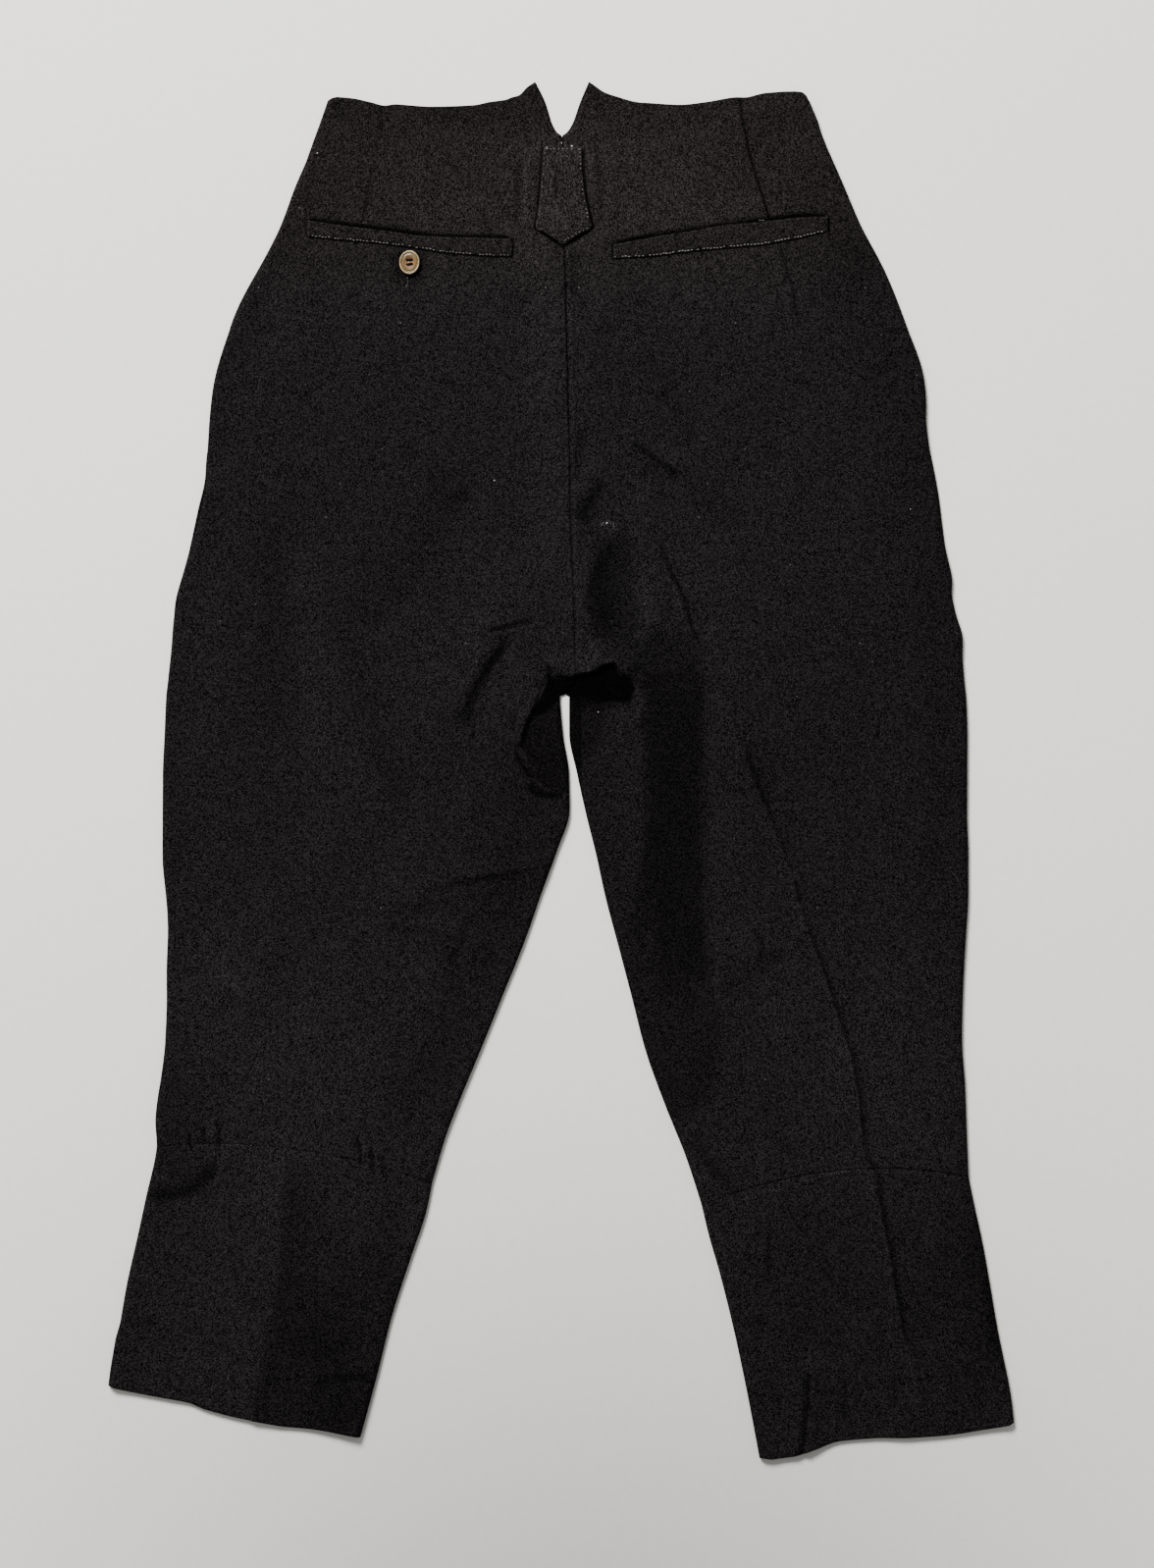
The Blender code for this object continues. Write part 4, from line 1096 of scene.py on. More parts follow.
@dataclass
class Drape:
    """Heights of the upper cloth above the floor, and the folds of both layers."""

    folds: FoldMap
    front_folds: FoldMap
    waist_left: Section
    waist_right: Section
    level: float = 0.004
    least: float = 0.0028
    softness: float = 0.0006
    wave: float = 0.0004
    broad_turns: Point = (47.0, 39.0)
    broad_starts: Point = (1.3, 0.4)
    slant_turns: Point = (90.0, 61.0)
    slant_share: float = 0.7
    fine_turns: Point = (170.0, 60.0)
    fine_start: float = 0.6
    cross_turns: Point = (140.0, 50.0)
    fine_share: float = 0.45
    edge_puff: float = 0.0022
    edge_puff_reach: float = 0.013
    floor_slack: float = 0.0004
    floor_wave: float = 0.0002
    step_down_start: float = 0.004
    step_down_end: float = 0.022
    underlap_cover: float = 0.0011
    underlap_ease_start: float = 0.008
    underlap_ease_end: float = 0.03

    def waves(self, x: np.ndarray, y: np.ndarray) -> np.ndarray:
        """The gentle unevenness of cloth that lies on cloth, from waves of three lengths."""
        broad_x = np.sin(self.broad_turns[0] * x + self.broad_starts[0])
        broad_y = np.cos(self.broad_turns[1] * y + self.broad_starts[1])
        slant = np.sin(self.slant_turns[0] * x - self.slant_turns[1] * y)
        fine = np.sin(self.fine_turns[0] * x + self.fine_turns[1] * y + self.fine_start)
        cross = np.sin(self.cross_turns[0] * y - self.cross_turns[1] * x)
        return broad_x * broad_y + self.slant_share * slant + self.fine_share * fine * cross

    def cover_of_underlap(self, x: np.ndarray, y: np.ndarray) -> np.ndarray:
        """Rise of the upper cloth over the strip behind the centre-front opening."""
        beside = np.maximum(np.abs(x) - UNDERLAP_HALF_WIDTH, UNDERLAP_FOOT - y)
        apart = np.maximum(beside, 0.0)
        fading = smoothstep(self.underlap_ease_start, self.underlap_ease_end, apart)
        return self.underlap_cover * (1 - fading)

    def past_front_waist(self, x: np.ndarray, y: np.ndarray) -> np.ndarray:
        """Distance beyond the front's lower waist edge, towards the back's own waist."""
        beyond = []
        for front in (self.waist_left, self.waist_right):
            share = np.clip((x - front.outer_x) / (front.inner_x - front.outer_x), 0.0, 1.0)
            beyond.append(y - height_along(front, share))
        return np.where(x < self.waist_left.inner_x, beyond[0], beyond[1])

    def top(self, x: np.ndarray, y: np.ndarray, to_seam: np.ndarray, relief: np.ndarray) -> np.ndarray:
        """Height of the upper cloth's outer surface.

        Args:
            x: X of the points.
            y: Y of the points.
            to_seam: Distance from the nearer seam that closes the garment's outline.
            relief: Height of the folds, seams and hems there.

        Returns:
            Height above the floor.
        """
        waves = self.waves(x, y)
        wanted = self.level + self.wave * waves + relief
        apart = wanted - self.least
        level = self.least + 0.5 * (apart + np.sqrt(apart**2 + self.softness**2))
        level += self.cover_of_underlap(x, y) + self.edge_puff * bell(to_seam, self.edge_puff_reach)
        on_floor = smoothstep(self.step_down_start, self.step_down_end, self.past_front_waist(x, y))
        flat = CLOTH + np.maximum(self.floor_slack + self.floor_wave * waves + relief, 0.0)
        return mix(level, flat, on_floor)


def height_along(section: Section, share: np.ndarray, tip_share: float = 1.0) -> np.ndarray:
    """Y along a section: an even bow through its middle, and the rise of its tip.

    Args:
        section: The section, whose values may be arrays.
        share: Share of the way from the side seam.
        tip_share: Share of the width over which the tip rises.

    Returns:
        Y at each share of the way.
    """
    straight = mix(section.outer_y, section.inner_y - section.tip, share)
    middle = mix(section.outer_y, section.inner_y - section.tip, 0.5)
    tip = np.maximum(0.0, (share - 1 + tip_share) / tip_share) ** TIP_CURVE
    return straight + 4 * share * (1 - share) * (section.mid_y - middle) + section.tip * tip


class ClothObject:
    """Makes an object of a mesh, with its cloth map and its tone."""

    UV_NAME = "cloth"
    TONE_NAME = "tone"

    @classmethod
    def make(
        cls,
        name: str,
        mesh: bmesh.types.BMesh,
        finish: bpy.types.Material,
        across: np.ndarray | None = None,
        along: np.ndarray | None = None,
        tone: np.ndarray | None = None,
    ) -> bpy.types.Object:
        """Links a smooth object with one finish.

        Args:
            name: Name of the object.
            mesh: Its shape, which is freed.
            finish: Its material.
            across: Place of each point across the cloth, in metres.
            along: Place of each point along the cloth, in metres.
            tone: How pale each point is.

        Returns:
            The object.
        """
        data = bpy.data.meshes.new(name)
        mesh.to_mesh(data)
        mesh.free()
        data.shade_smooth()
        if across is not None:
            corner = np.empty(len(data.loops), dtype=np.int32)
            data.loops.foreach_get("vertex_index", corner)
            layer = data.uv_layers.new(name=cls.UV_NAME)
            layer.data.foreach_set("uv", np.stack((across[corner], along[corner]), 1).ravel())
        if tone is not None:
            attribute = data.attributes.new(cls.TONE_NAME, "FLOAT", "POINT")
            attribute.data.foreach_set("value", tone.astype(np.float32))
        data.materials.append(finish)
        made = bpy.data.objects.new(name, data)
        bpy.context.scene.collection.objects.link(made)
        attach(made, BODY)
        return made

    @staticmethod
    def wall(made: bpy.types.Object, thickness: float = CLOTH) -> None:
        """Gives a sheet its thickness, inwards from its outer face."""
        solidify = made.modifiers.new("wall", "SOLIDIFY")
        solidify.thickness = thickness
        solidify.offset = -1.0
        solidify.use_even_offset = False


@dataclass(frozen=True)
class SeamLine:
    """A paler or darker line beside a seam, where its allowance or its wear shows."""

    away: float
    reach: float
    tone: float


SEAM_LINES = (SeamLine(0.0, 0.0009, -0.45), SeamLine(0.0042, 0.0007, -0.25), SeamLine(0.0025, 0.001, 0.2))


@dataclass
class ClothPanel:
    """One cut piece of cloth, from a grid mapped on its sections and made finer at its folds."""

    name: str
    sections: tuple[Section, ...]
    side: Side
    layer: Layer
    first: Edge
    last: Edge
    drape: Drape
    columns: int = 84
    row_pitch: float = 0.004
    turn_steps: int = 4
    crowding: float = 0.55
    finest: float = 0.0009
    coarsest: float = 0.006
    rounds: int = 2
    fine_band: float = 0.003
    coarsening: float = 0.5
    overlong: float = 1.5
    seam_dip: float = 0.0007
    seam_dip_reach: float = 0.001
    seam_fade: tuple[Point, ...] = ((0.1, 0.25), (0.19, 0.85), (0.35, 1.0))
    knee_strength: float = 0.3
    stitched_gap: float = 0.0001
    allowance_rise: float = 0.0004
    allowance_reach: float = 0.005
    allowance_spread: float = 0.0028
    edge_round: float = 0.0005
    edge_reach: float = 0.0012
    hem_rise: float = 0.0005
    hem_depth: float = 0.04
    hem_ease: float = 0.002
    hem_line_tone: float = -0.22
    hem_line_reach: float = 0.0016
    knee_rows: float = 0.02
    tone_range: Point = (0.12, 5.0)
    tip_share: dict[Side, float] = field(default_factory=lambda: {Side.LEFT: 0.15, Side.RIGHT: 0.24})
    crotch_top: float = CROTCH_TOP
    crotch_foot: float = CROTCH_FOOT
    line_depth: float = 0.045
    front_ease: float = 0.02
    front_gap: float = 0.0008
    gap_ease: float = 0.02

    def __post_init__(self) -> None:
        """Works out the table of the sections and the way that the rows are spread along them."""
        rows = [
            (each.outer_x, each.outer_y, each.mid_y, each.inner_x, each.inner_y, each.tip)
            for each in self.sections
        ]
        self.table = np.array(rows)
        self.outward = math.copysign(1, self.table[0, 0])
        self.passed = (self.table[0, 2] - self.table[:, 2]) / (self.table[0, 2] - self.table[-1, 2])

    @property
    def folds(self) -> FoldMap:
        """The folds of the panel's own layer."""
        return self.drape.folds if self.layer is Layer.BACK else self.drape.front_folds

    @property
    def flat_width(self) -> float:
        """Greatest width of the cut."""
        return float(np.abs(self.table[:, 0] - self.table[:, 3]).max())

    @property
    def flat_length(self) -> float:
        """Greatest length of the cut."""
        return float(self.table[0, [1, 4]].max() - self.table[-1, [1, 4]].min())

    @property
    def flat_area(self) -> float:
        """Area of the cut, from the widths of its sections."""
        widths = np.abs(self.table[:, 0] - self.table[:, 3])
        steps = np.abs(np.diff(self.table[:, [1, 2, 4]].mean(1)))
        return float(((widths[1:] + widths[:-1]) / 2 * steps).sum())

    def places(self, grid: np.ndarray) -> dict[str, np.ndarray]:
        """Where the points of the grid lie on the garment.

        Args:
            grid: Columns and rows of the points, both from 0 to 1.

        Returns:
            Their place, turn and distances from the panel's edges, by name.
        """
        turns = self.turn_steps
        column = grid[:, 0] * (2 * turns + self.columns)
        row = np.clip(grid[:, 1], 0.0, 1.0)
        values = eased_rows(self.table, np.interp(row, self.passed, np.arange(len(self.table))))
        outer_x, outer_y, mid_y, inner_x, inner_y, tip = values.T
        parted = 1.0
        if self.layer is Layer.FRONT:
            parted = smoothstep(CROTCH_TOP, CROTCH_TOP + self.gap_ease, inner_y)
        inner_x = inner_x + self.outward * parted * self.stitched_gap / 2
        reach = np.abs(inner_x - outer_x)
        inseam = 1 - smoothstep(self.crotch_foot, self.crotch_top, inner_y)
        full = math.pi / 2 * inseam
        outer_angle = math.pi / 2 * np.clip(1 - column / turns, 0.0, 1.0)
        past = np.clip((column - turns - self.columns) / turns, 0.0, 1.0)
        inner_angle = full * past
        inner_reach = TURN_REACH * (np.sin(full) + 1 - inseam)
        body = np.clip((column - turns) / self.columns, 0.0, 1.0)
        body = body - self.crowding * np.sin(2 * math.pi * body) / (2 * math.pi)
        offset = mix(TURN_REACH, reach - inner_reach, body)
        left = TURN_REACH * (np.sin(full) - np.sin(inner_angle) + (1 - inseam) * (1 - past))
        offset = np.where(column < turns, TURN_REACH * (1 - np.sin(outer_angle)), offset)
        offset = np.where(past > 0, reach - left, offset)
        share = offset / reach
        tip_share = self.tip_share[self.side]
        section = Section(outer_x, outer_y, mid_y, inner_x, inner_y, tip)
        x = outer_x - self.outward * offset
        y = height_along(section, share, tip_share)
        depth = height_along(self.sections[0], share, tip_share) - y
        rest = y - height_along(self.sections[-1], share, tip_share)
        beside = np.clip(1 - offset / self.line_depth, 0, 1)
        x = x + self.outward * eased_line(SIDE_LINE[self.side], y) * beside
        if self.first is Edge.WAIST:
            lift = eased_line(WAIST_LINE[self.side], offset)
            lift = np.minimum(lift, 0.0) if self.layer is Layer.FRONT else lift
            y = y + lift * np.clip(1 - depth / self.line_depth, 0, 1)
        if self.last is Edge.HEM:
            y = y + eased_line(HEM_LINE[self.side], offset) * np.clip(1 - rest / self.line_depth, 0, 1)
        if self.last is Edge.KNEE:
            y = y + self.stitched_gap / 2 * smoothstep(1 - self.knee_rows, 1.0, row)
        if self.first is Edge.KNEE:
            y = y - self.stitched_gap / 2 * (1 - smoothstep(0.0, self.knee_rows, row))
        return {
            "x": x, "y": y, "angle": np.where(past > 0, inner_angle, outer_angle),
            "offset": offset, "to_centre": reach - offset, "inseam": inseam,
            "depth": depth, "rest": rest, "lean": (outer_x + inner_x) / 2,
        }

    def edge_distances(self, at: dict[str, np.ndarray]) -> dict[Edge, np.ndarray]:
        """Distance of each point from the panel's first and last rows, by the kind of edge."""
        return {self.first: np.maximum(at["depth"], 0.0), self.last: np.maximum(at["rest"], 0.0)}

    def relief(self, at: dict[str, np.ndarray]) -> tuple[np.ndarray, np.ndarray]:
        """Heights and tones of the panel's seams, hem and edges.

        Args:
            at: The places of the points.

        Returns:
            Rise in metres and the factor of paleness.
        """
        rise, tone = np.zeros(at["x"].shape), np.ones(at["x"].shape)
        centre = at["to_centre"] + at["inseam"]
        seams = []
        if self.layer is Layer.BACK:
            seams.append((centre, np.interp(at["y"], *np.array(self.seam_fade).T)))
        for edge, distance in self.edge_distances(at).items():
            if edge is Edge.KNEE:
                seams.append((distance, self.knee_strength))
                continue
            rise -= self.edge_round * bell(distance, self.edge_reach)
            if edge is Edge.HEM:
                start, end = self.hem_depth - self.hem_ease, self.hem_depth + self.hem_ease
                rise += self.hem_rise * (1 - smoothstep(start, end, distance))
                tone *= 1 + self.hem_line_tone * bell(distance - self.hem_depth, self.hem_line_reach)
        for distance, strength in seams:
            raised = bell(distance - self.allowance_reach, self.allowance_spread)
            rise -= strength * self.seam_dip * bell(distance, self.seam_dip_reach)
            rise += strength * self.allowance_rise * raised
            for line in SEAM_LINES:
                tone *= 1 + line.tone * strength * bell(distance - line.away, line.reach)
        return rise, tone

    def refine(self, mesh: bmesh.types.BMesh) -> None:
        """Splits the edges that are too long for the folds and seams that they cross."""
        for _ in range(self.rounds):
            grid = np.array([vert.co[:2] for vert in mesh.verts])
            at = self.places(grid)
            pitch = self.folds.pitch(at["x"], at["y"], self.finest, self.coarsest)
            near = np.minimum(at["to_centre"] + at["inseam"], 1.0)
            for distance in self.edge_distances(at).values():
                near = np.minimum(near, distance)
            beyond = np.maximum(near - self.fine_band, 0.0)
            pitch = np.minimum(pitch, self.finest + self.coarsening * beyond)
            mesh.edges.ensure_lookup_table()
            ends = np.array([(edge.verts[0].index, edge.verts[1].index) for edge in mesh.edges])
            run = np.hypot(*(at[axis][ends[:, 0]] - at[axis][ends[:, 1]] for axis in ("x", "y")))
            too_long = run > self.overlong * np.minimum(pitch[ends[:, 0]], pitch[ends[:, 1]])
            split = [mesh.edges[index] for index in np.flatnonzero(too_long)]
            bmesh.ops.subdivide_edges(
                mesh, edges=split, cuts=1, use_grid_fill=True, use_single_edge=True,
            )
            mesh.verts.index_update()

    def build(self, finish: bpy.types.Material) -> bpy.types.Object:
        """Makes the panel.

        Args:
            finish: Its cloth.

        Returns:
            The panel's object, which stands for the node of its name.
        """
        length = self.table[0, 2] - self.table[-1, 2]
        mesh = bmesh.new()
        bmesh.ops.create_grid(
            mesh, x_segments=2 * self.turn_steps + self.columns,
            y_segments=math.ceil(length / self.row_pitch), size=0.5,
        )
        bmesh.ops.translate(mesh, verts=mesh.verts, vec=(0.5, 0.5, 0.0))
        self.refine(mesh)
        at = self.places(np.array([vert.co[:2] for vert in mesh.verts]))
        rise, tone = self.relief(at)
        folds, wear_and_painted_shade = self.folds.rise_and_tone(at["x"], at["y"])
        to_seam = np.minimum(at["offset"], mix(1.0, at["to_centre"], at["inseam"]))
        if self.layer is Layer.BACK:
            flat = self.drape.top(at["x"], at["y"], to_seam, rise + folds)
            up = 1
        else:
            above = self.drape.folds.rise_and_tone(at["x"], at["y"])[0]
            room = self.drape.top(at["x"], at["y"], to_seam, above) - 2 * CLOTH - self.front_gap
            flat = np.clip(folds, 0.0, np.maximum(room, 0.0)) * smoothstep(0.0, self.front_ease, to_seam)
            up = -1
        # The tone holds wear, painted shade in creases and hollows, and painted light on ridges
        tone = tone * wear_and_painted_shade * np.interp(at["y"], *np.array(TONE_BY_HEIGHT).T)
        seam = SEAM_HEIGHT + up * SEAM_GAP / 2
        z = mix(flat, seam, 1 - np.cos(at["angle"]))
        for vert, place in zip(mesh.verts, np.stack((at["x"], at["y"], z), 1)):
            vert.co = place
        mesh.normal_update()
        if sum(face.normal.z * face.calc_area() for face in mesh.faces) * up < 0:
            bmesh.ops.reverse_faces(mesh, faces=mesh.faces)
        tone = np.clip(tone, *self.tone_range)
        made = ClothObject.make(self.name, mesh, finish, at["x"] - at["lean"], at["y"], tone)
        ClothObject.wall(made)
        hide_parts(self.name)
        return made


class Bed:
    """The surface of the finished panels, on which trims, stitches and the button lie."""

    ABOVE = 1.0

    def __init__(self, panels: list[bpy.types.Object]) -> None:
        """Keeps a search tree for each panel."""
        graph = bpy.context.evaluated_depsgraph_get()
        self.trees = [BVHTree.FromObject(panel, graph) for panel in panels]

    def height(self, x: float, y: float) -> float:
        """Height of the highest surface at a point, also over the slit of a seam.

        Args:
            x: X of the point.
            y: Y of the point.

        Returns:
            Height above the floor.
        """
        starts = [Vector((x + beside, y, self.ABOVE)) for beside in (-SEAM_GAP, 0.0, SEAM_GAP)]
        down = Vector((0, 0, -1))
        found = [tree.ray_cast(start, down)[0] for tree in self.trees for start in starts]
        return max((hit.z for hit in found if hit), default=CLOTH)

    def heights(self, x: np.ndarray, y: np.ndarray) -> np.ndarray:
        """The height at each of many points."""
        return np.array([self.height(*place) for place in zip(x, y)])


@dataclass
class Trim:
    """A narrow strip of cloth sewn on the panels, with turned edges and a sunken line of stitching."""

    name: str
    rails: np.ndarray
    pitch: float = 0.001
    thickness: float = 0.0012
    edge_round: float = 0.0006
    edge_reach: float = 0.0009
    puff: float = 0.0002
    puff_reach: float = 0.004
    stitch_inset: float = 0.0016
    stitch_sink: float = 0.0002
    stitch_reach: float = 0.0005
    stitch_tone: float = -0.35
    worn_edge_reach: float = 0.0007
    worn_edge_tone: float = 0.5
    base_tone: float = 1.5
    crease: Fold | None = None

    @property
    def steps(self) -> np.ndarray:
        """Lengths from row to row along the middle of the strip."""
        return np.hypot(*np.diff((self.rails[:, :2] + self.rails[:, 2:]) / 2, axis=0).T)

    @property
    def widths(self) -> np.ndarray:
        """Widths of the rows."""
        return np.hypot(*(self.rails[:, 2:] - self.rails[:, :2]).T)

    def outline(self) -> tuple[Point, ...]:
        """Corners of the strip, once round."""
        starts = [tuple(row[:2]) for row in self.rails]
        ends = [tuple(row[2:]) for row in self.rails]
        return tuple(starts + ends[::-1] + starts[:1])

    def build(self, bed: Bed, finish: bpy.types.Material) -> bpy.types.Object:
        """Makes the strip.

        Args:
            bed: What it lies on.
            finish: Its cloth.

        Returns:
            The strip's object, which stands for the node of its name.
        """
        steps = self.steps
        passed = np.concatenate(([0.0], np.cumsum(steps))) / steps.sum()
        mesh = bmesh.new()
        bmesh.ops.create_grid(
            mesh, x_segments=math.ceil(self.widths.max() / self.pitch),
            y_segments=math.ceil(steps.sum() / self.pitch), size=0.5,
        )
        grid = np.array([vert.co[:2] for vert in mesh.verts]) + 0.5
        rail = eased_rows(self.rails, np.interp(grid[:, 1], passed, np.arange(len(passed))))
        x, y = (rail[:, :2] + (rail[:, 2:] - rail[:, :2]) * grid[:, :1]).T
        distance = near_path(self.outline(), x, y)[0]
        stitched = bell(distance - self.stitch_inset, self.stitch_reach)
        rise = self.puff * (1 - bell(distance, self.puff_reach))
        rise -= self.edge_round * bell(distance, self.edge_reach) + self.stitch_sink * stitched
        tone = self.base_tone * (1 + self.stitch_tone * stitched)
        tone *= 1 + self.worn_edge_tone * bell(distance, self.worn_edge_reach)
        if self.crease:
            strength = FoldMap([], [], []).profile(self.crease, x, y)
            rise += self.crease.rise * strength
            tone *= 1 + self.crease.tone * strength
        z = bed.heights(x, y) + SEAM_GAP + self.thickness + rise
        for vert, place in zip(mesh.verts, np.stack((x, y, z), 1)):
            vert.co = place
        mesh.normal_update()
        if sum(face.normal.z for face in mesh.faces) < 0:
            bmesh.ops.reverse_faces(mesh, faces=mesh.faces)
        made = ClothObject.make(self.name, mesh, finish, x, y, tone)
        ClothObject.wall(made, self.thickness)
        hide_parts(self.name)
        return made

    @property
    def flat_size(self) -> tuple[float, float, float]:
        """Width, length and area of the strip's cut."""
        widths, steps = self.widths, self.steps
        area = ((widths[1:] + widths[:-1]) / 2 * steps).sum()
        return float(widths.max()), float(steps.sum()), float(area)


class Stitcher:
    """Lays lines of stitches on the cloth, each line one object."""

    SIDES = 6
    RINGS = 4
    FLATNESS = 0.8
    LIFT = 0.4
    SUNK = 0.35
    LENGTHS = (0.7, 1.2)
    SHADES = (0.35, 1.25)
    PITCHES = (0.85, 1.15)
    TONES = {ThreadKind.PALE: 1.0, ThreadKind.GREY: 0.5, ThreadKind.DARK: 0.12}

    def __init__(self, bed: Bed, finish: bpy.types.Material) -> None:
        """Keeps the surface that the stitches lie on and their finish."""
        self.bed = bed
        self.finish = finish

    def stitch(self, mesh: bmesh.types.BMesh, start: Vector, end: Vector, width: float) -> int:
        """Adds one stitch.

        Args:
            mesh: Where it is added.
            start: One end.
            end: The other end.
            width: Its width.

        Returns:
            How many points it has.
        """
        run = end - start
        turn = run.to_track_quat("X", "Z").to_matrix().to_4x4()
        size = Matrix.Diagonal((run.length, width, width * self.FLATNESS, 1.0))
        made = bmesh.ops.create_uvsphere(
            mesh, u_segments=self.SIDES, v_segments=self.RINGS, radius=0.5,
            matrix=Matrix.Translation((start + end) / 2) @ turn @ size,
        )
        return len(made["verts"])

    def lay(self, run: StitchRun) -> bpy.types.Object:
        """Makes one line of stitches.

        Args:
            run: The line.

        Returns:
            Its object.
        """
        chance = random.Random(run.seed)
        corners = np.array(run.path)
        passed = np.concatenate(([0.0], np.cumsum(np.hypot(*np.diff(corners, axis=0).T))))
        mesh = bmesh.new()
        tones: list[float] = []
        place = run.pitch * 0.5
        while place + run.length / 2 < passed[-1]:
            worn = chance.random() < run.missing
            length = run.length * chance.uniform(*self.LENGTHS)
            aside = chance.uniform(-run.wander, run.wander)
            shade = self.TONES[run.kind] * chance.uniform(*self.SHADES)
            if not worn:
                ends = []
                for along in (place - length / 2, place + length / 2):
                    x = float(np.interp(along, passed, corners[:, 0]))
                    y = float(np.interp(along, passed, corners[:, 1])) + aside
                    height = self.bed.height(x, y) + run.width * (self.LIFT - self.SUNK)
                    ends.append(Vector((x, y, height)))
                tones += [shade] * self.stitch(mesh, ends[0], ends[1], run.width)
            place += run.pitch * chance.uniform(*self.PITCHES)
        made = ClothObject.make(run.name, mesh, self.finish, tone=np.array(tones))
        return made


@dataclass
class HornButton:
    """Dished button of tan horn with four holes, two bars of dark thread and a wound shank."""

    profile: tuple[Ring, ...] = BUTTON_PROFILE
    x: float = BUTTON_X
    y: float = BUTTON_Y - 0.001
    oval: tuple[float, float, float] = (0.9, 1.05, 1.0)
    lean: float = 0.1
    turns: int = 96
    hole_radius: float = 0.0008
    hole_x: float = 0.0021
    hole_y: float = 0.0015
    hole_shift: float = 0.0003
    hole_sides: int = 20
    hole_depth: float = 0.02
    thread: float = 0.0004
    strands: int = 3
    strand_pitch: float = 0.0005
    thread_tilt: float = 0.14
    shank_height: float = 0.0006
    shank_turns: int = 3
    shank_radius: float = 0.0014
    shank_thread: float = 0.0003
    shank_steps: int = 16
    shank_share: float = 0.8
    thread_sides: int = 8
    arc_rise: float = 0.3
    arc_steps: int = 12
    sharp_angle: float = 50.0
    seat_points: int = 16
    edge_name: str = "from_middle"

    def drilled(self, body: bpy.types.Object) -> None:
        """Cuts the four holes and makes the cut part of the mesh.

        Args:
            body: The turned button.
        """
        mesh = bmesh.new()
        for side_x in (-1, 1):
            for side_y in (-1, 1):
                place = (side_x * self.hole_x, side_y * self.hole_y + self.hole_shift, 0.0)
                bmesh.ops.create_cone(
                    mesh, cap_ends=True, segments=self.hole_sides, radius1=self.hole_radius,
                    radius2=self.hole_radius, depth=self.hole_depth, matrix=Matrix.Translation(place),
                )
        data = bpy.data.meshes.new("holes")
        mesh.to_mesh(data)
        mesh.free()
        cutter = bpy.data.objects.new("holes", data)
        bpy.context.scene.collection.objects.link(cutter)
        cut = body.modifiers.new("holes", "BOOLEAN")
        cut.operation = "DIFFERENCE"
        cut.solver = "EXACT"
        cut.object = cutter
        graph = bpy.context.evaluated_depsgraph_get()
        drilled = bpy.data.meshes.new_from_object(body.evaluated_get(graph))
        body.modifiers.clear()
        body.data = drilled
        bpy.data.objects.remove(cutter, do_unlink=True)

    def body(self, finish: bpy.types.Material) -> bpy.types.Object:
        """Turns the button's outline and drills it.

        Args:
            finish: Its horn.

        Returns:
            The button about the origin.
        """
        mesh = bmesh.new()
        points = [mesh.verts.new((ring.radius, 0.0, ring.height)) for ring in self.profile]
        edges = [mesh.edges.new(pair) for pair in zip(points, points[1:])]
        bmesh.ops.spin(
            mesh, geom=points + edges, axis=(0, 0, 1), cent=(0, 0, 0),
            angle=2 * math.pi, steps=self.turns, use_merge=True,
        )
        bmesh.ops.remove_doubles(mesh, verts=mesh.verts, dist=1e-6)
        bmesh.ops.recalc_face_normals(mesh, faces=mesh.faces)
        made = ClothObject.make("pocket_button_horn", mesh, finish)
        self.drilled(made)
        data = made.data
        places = np.empty(len(data.vertices) * 3, dtype=np.float32)
        data.vertices.foreach_get("co", places)
        radii = np.hypot(places[0::3], places[1::3])
        attribute = data.attributes.new(self.edge_name, "FLOAT", "POINT")
        attribute.data.foreach_set("value", radii.astype(np.float32))
        data.set_sharp_from_angle(angle=math.radians(self.sharp_angle))
        return made

    def arc(self, mesh: bmesh.types.BMesh, side_y: float, height: float) -> None:
        """Adds one strand of thread from hole to hole.

        Args:
            mesh: Where it is added.
            side_y: How far it lies from the middle.
            height: Height of the button's face there.
        """
        made = bmesh.ops.create_circle(
            mesh, cap_ends=False, segments=self.thread_sides, radius=self.thread,
            matrix=Matrix.Translation((self.hole_x, 0.0, 0.0)),
        )
        ring = [element for vert in made["verts"] for element in (vert, *vert.link_edges)]
        bmesh.ops.spin(
            mesh, geom=list(dict.fromkeys(ring)), axis=(0, -1, 0), cent=(0, 0, 0),
            angle=math.pi, steps=self.arc_steps, use_merge=False,
        )
        fresh = [vert for vert in mesh.verts if not vert.tag]
        for vert in fresh:
            vert.tag = True
            tube = Vector((vert.co.x, 0.0, vert.co.z))
            middle = tube.normalized() * self.hole_x if tube.length else tube
            vert.co.z = middle.z * self.arc_rise + (vert.co.z - middle.z)
        bmesh.ops.translate(mesh, verts=fresh, vec=(0.0, side_y, height))
        bmesh.ops.rotate(
            mesh, verts=fresh, cent=(0, side_y, 0), matrix=Matrix.Rotation(self.thread_tilt, 3, "Z"),
        )

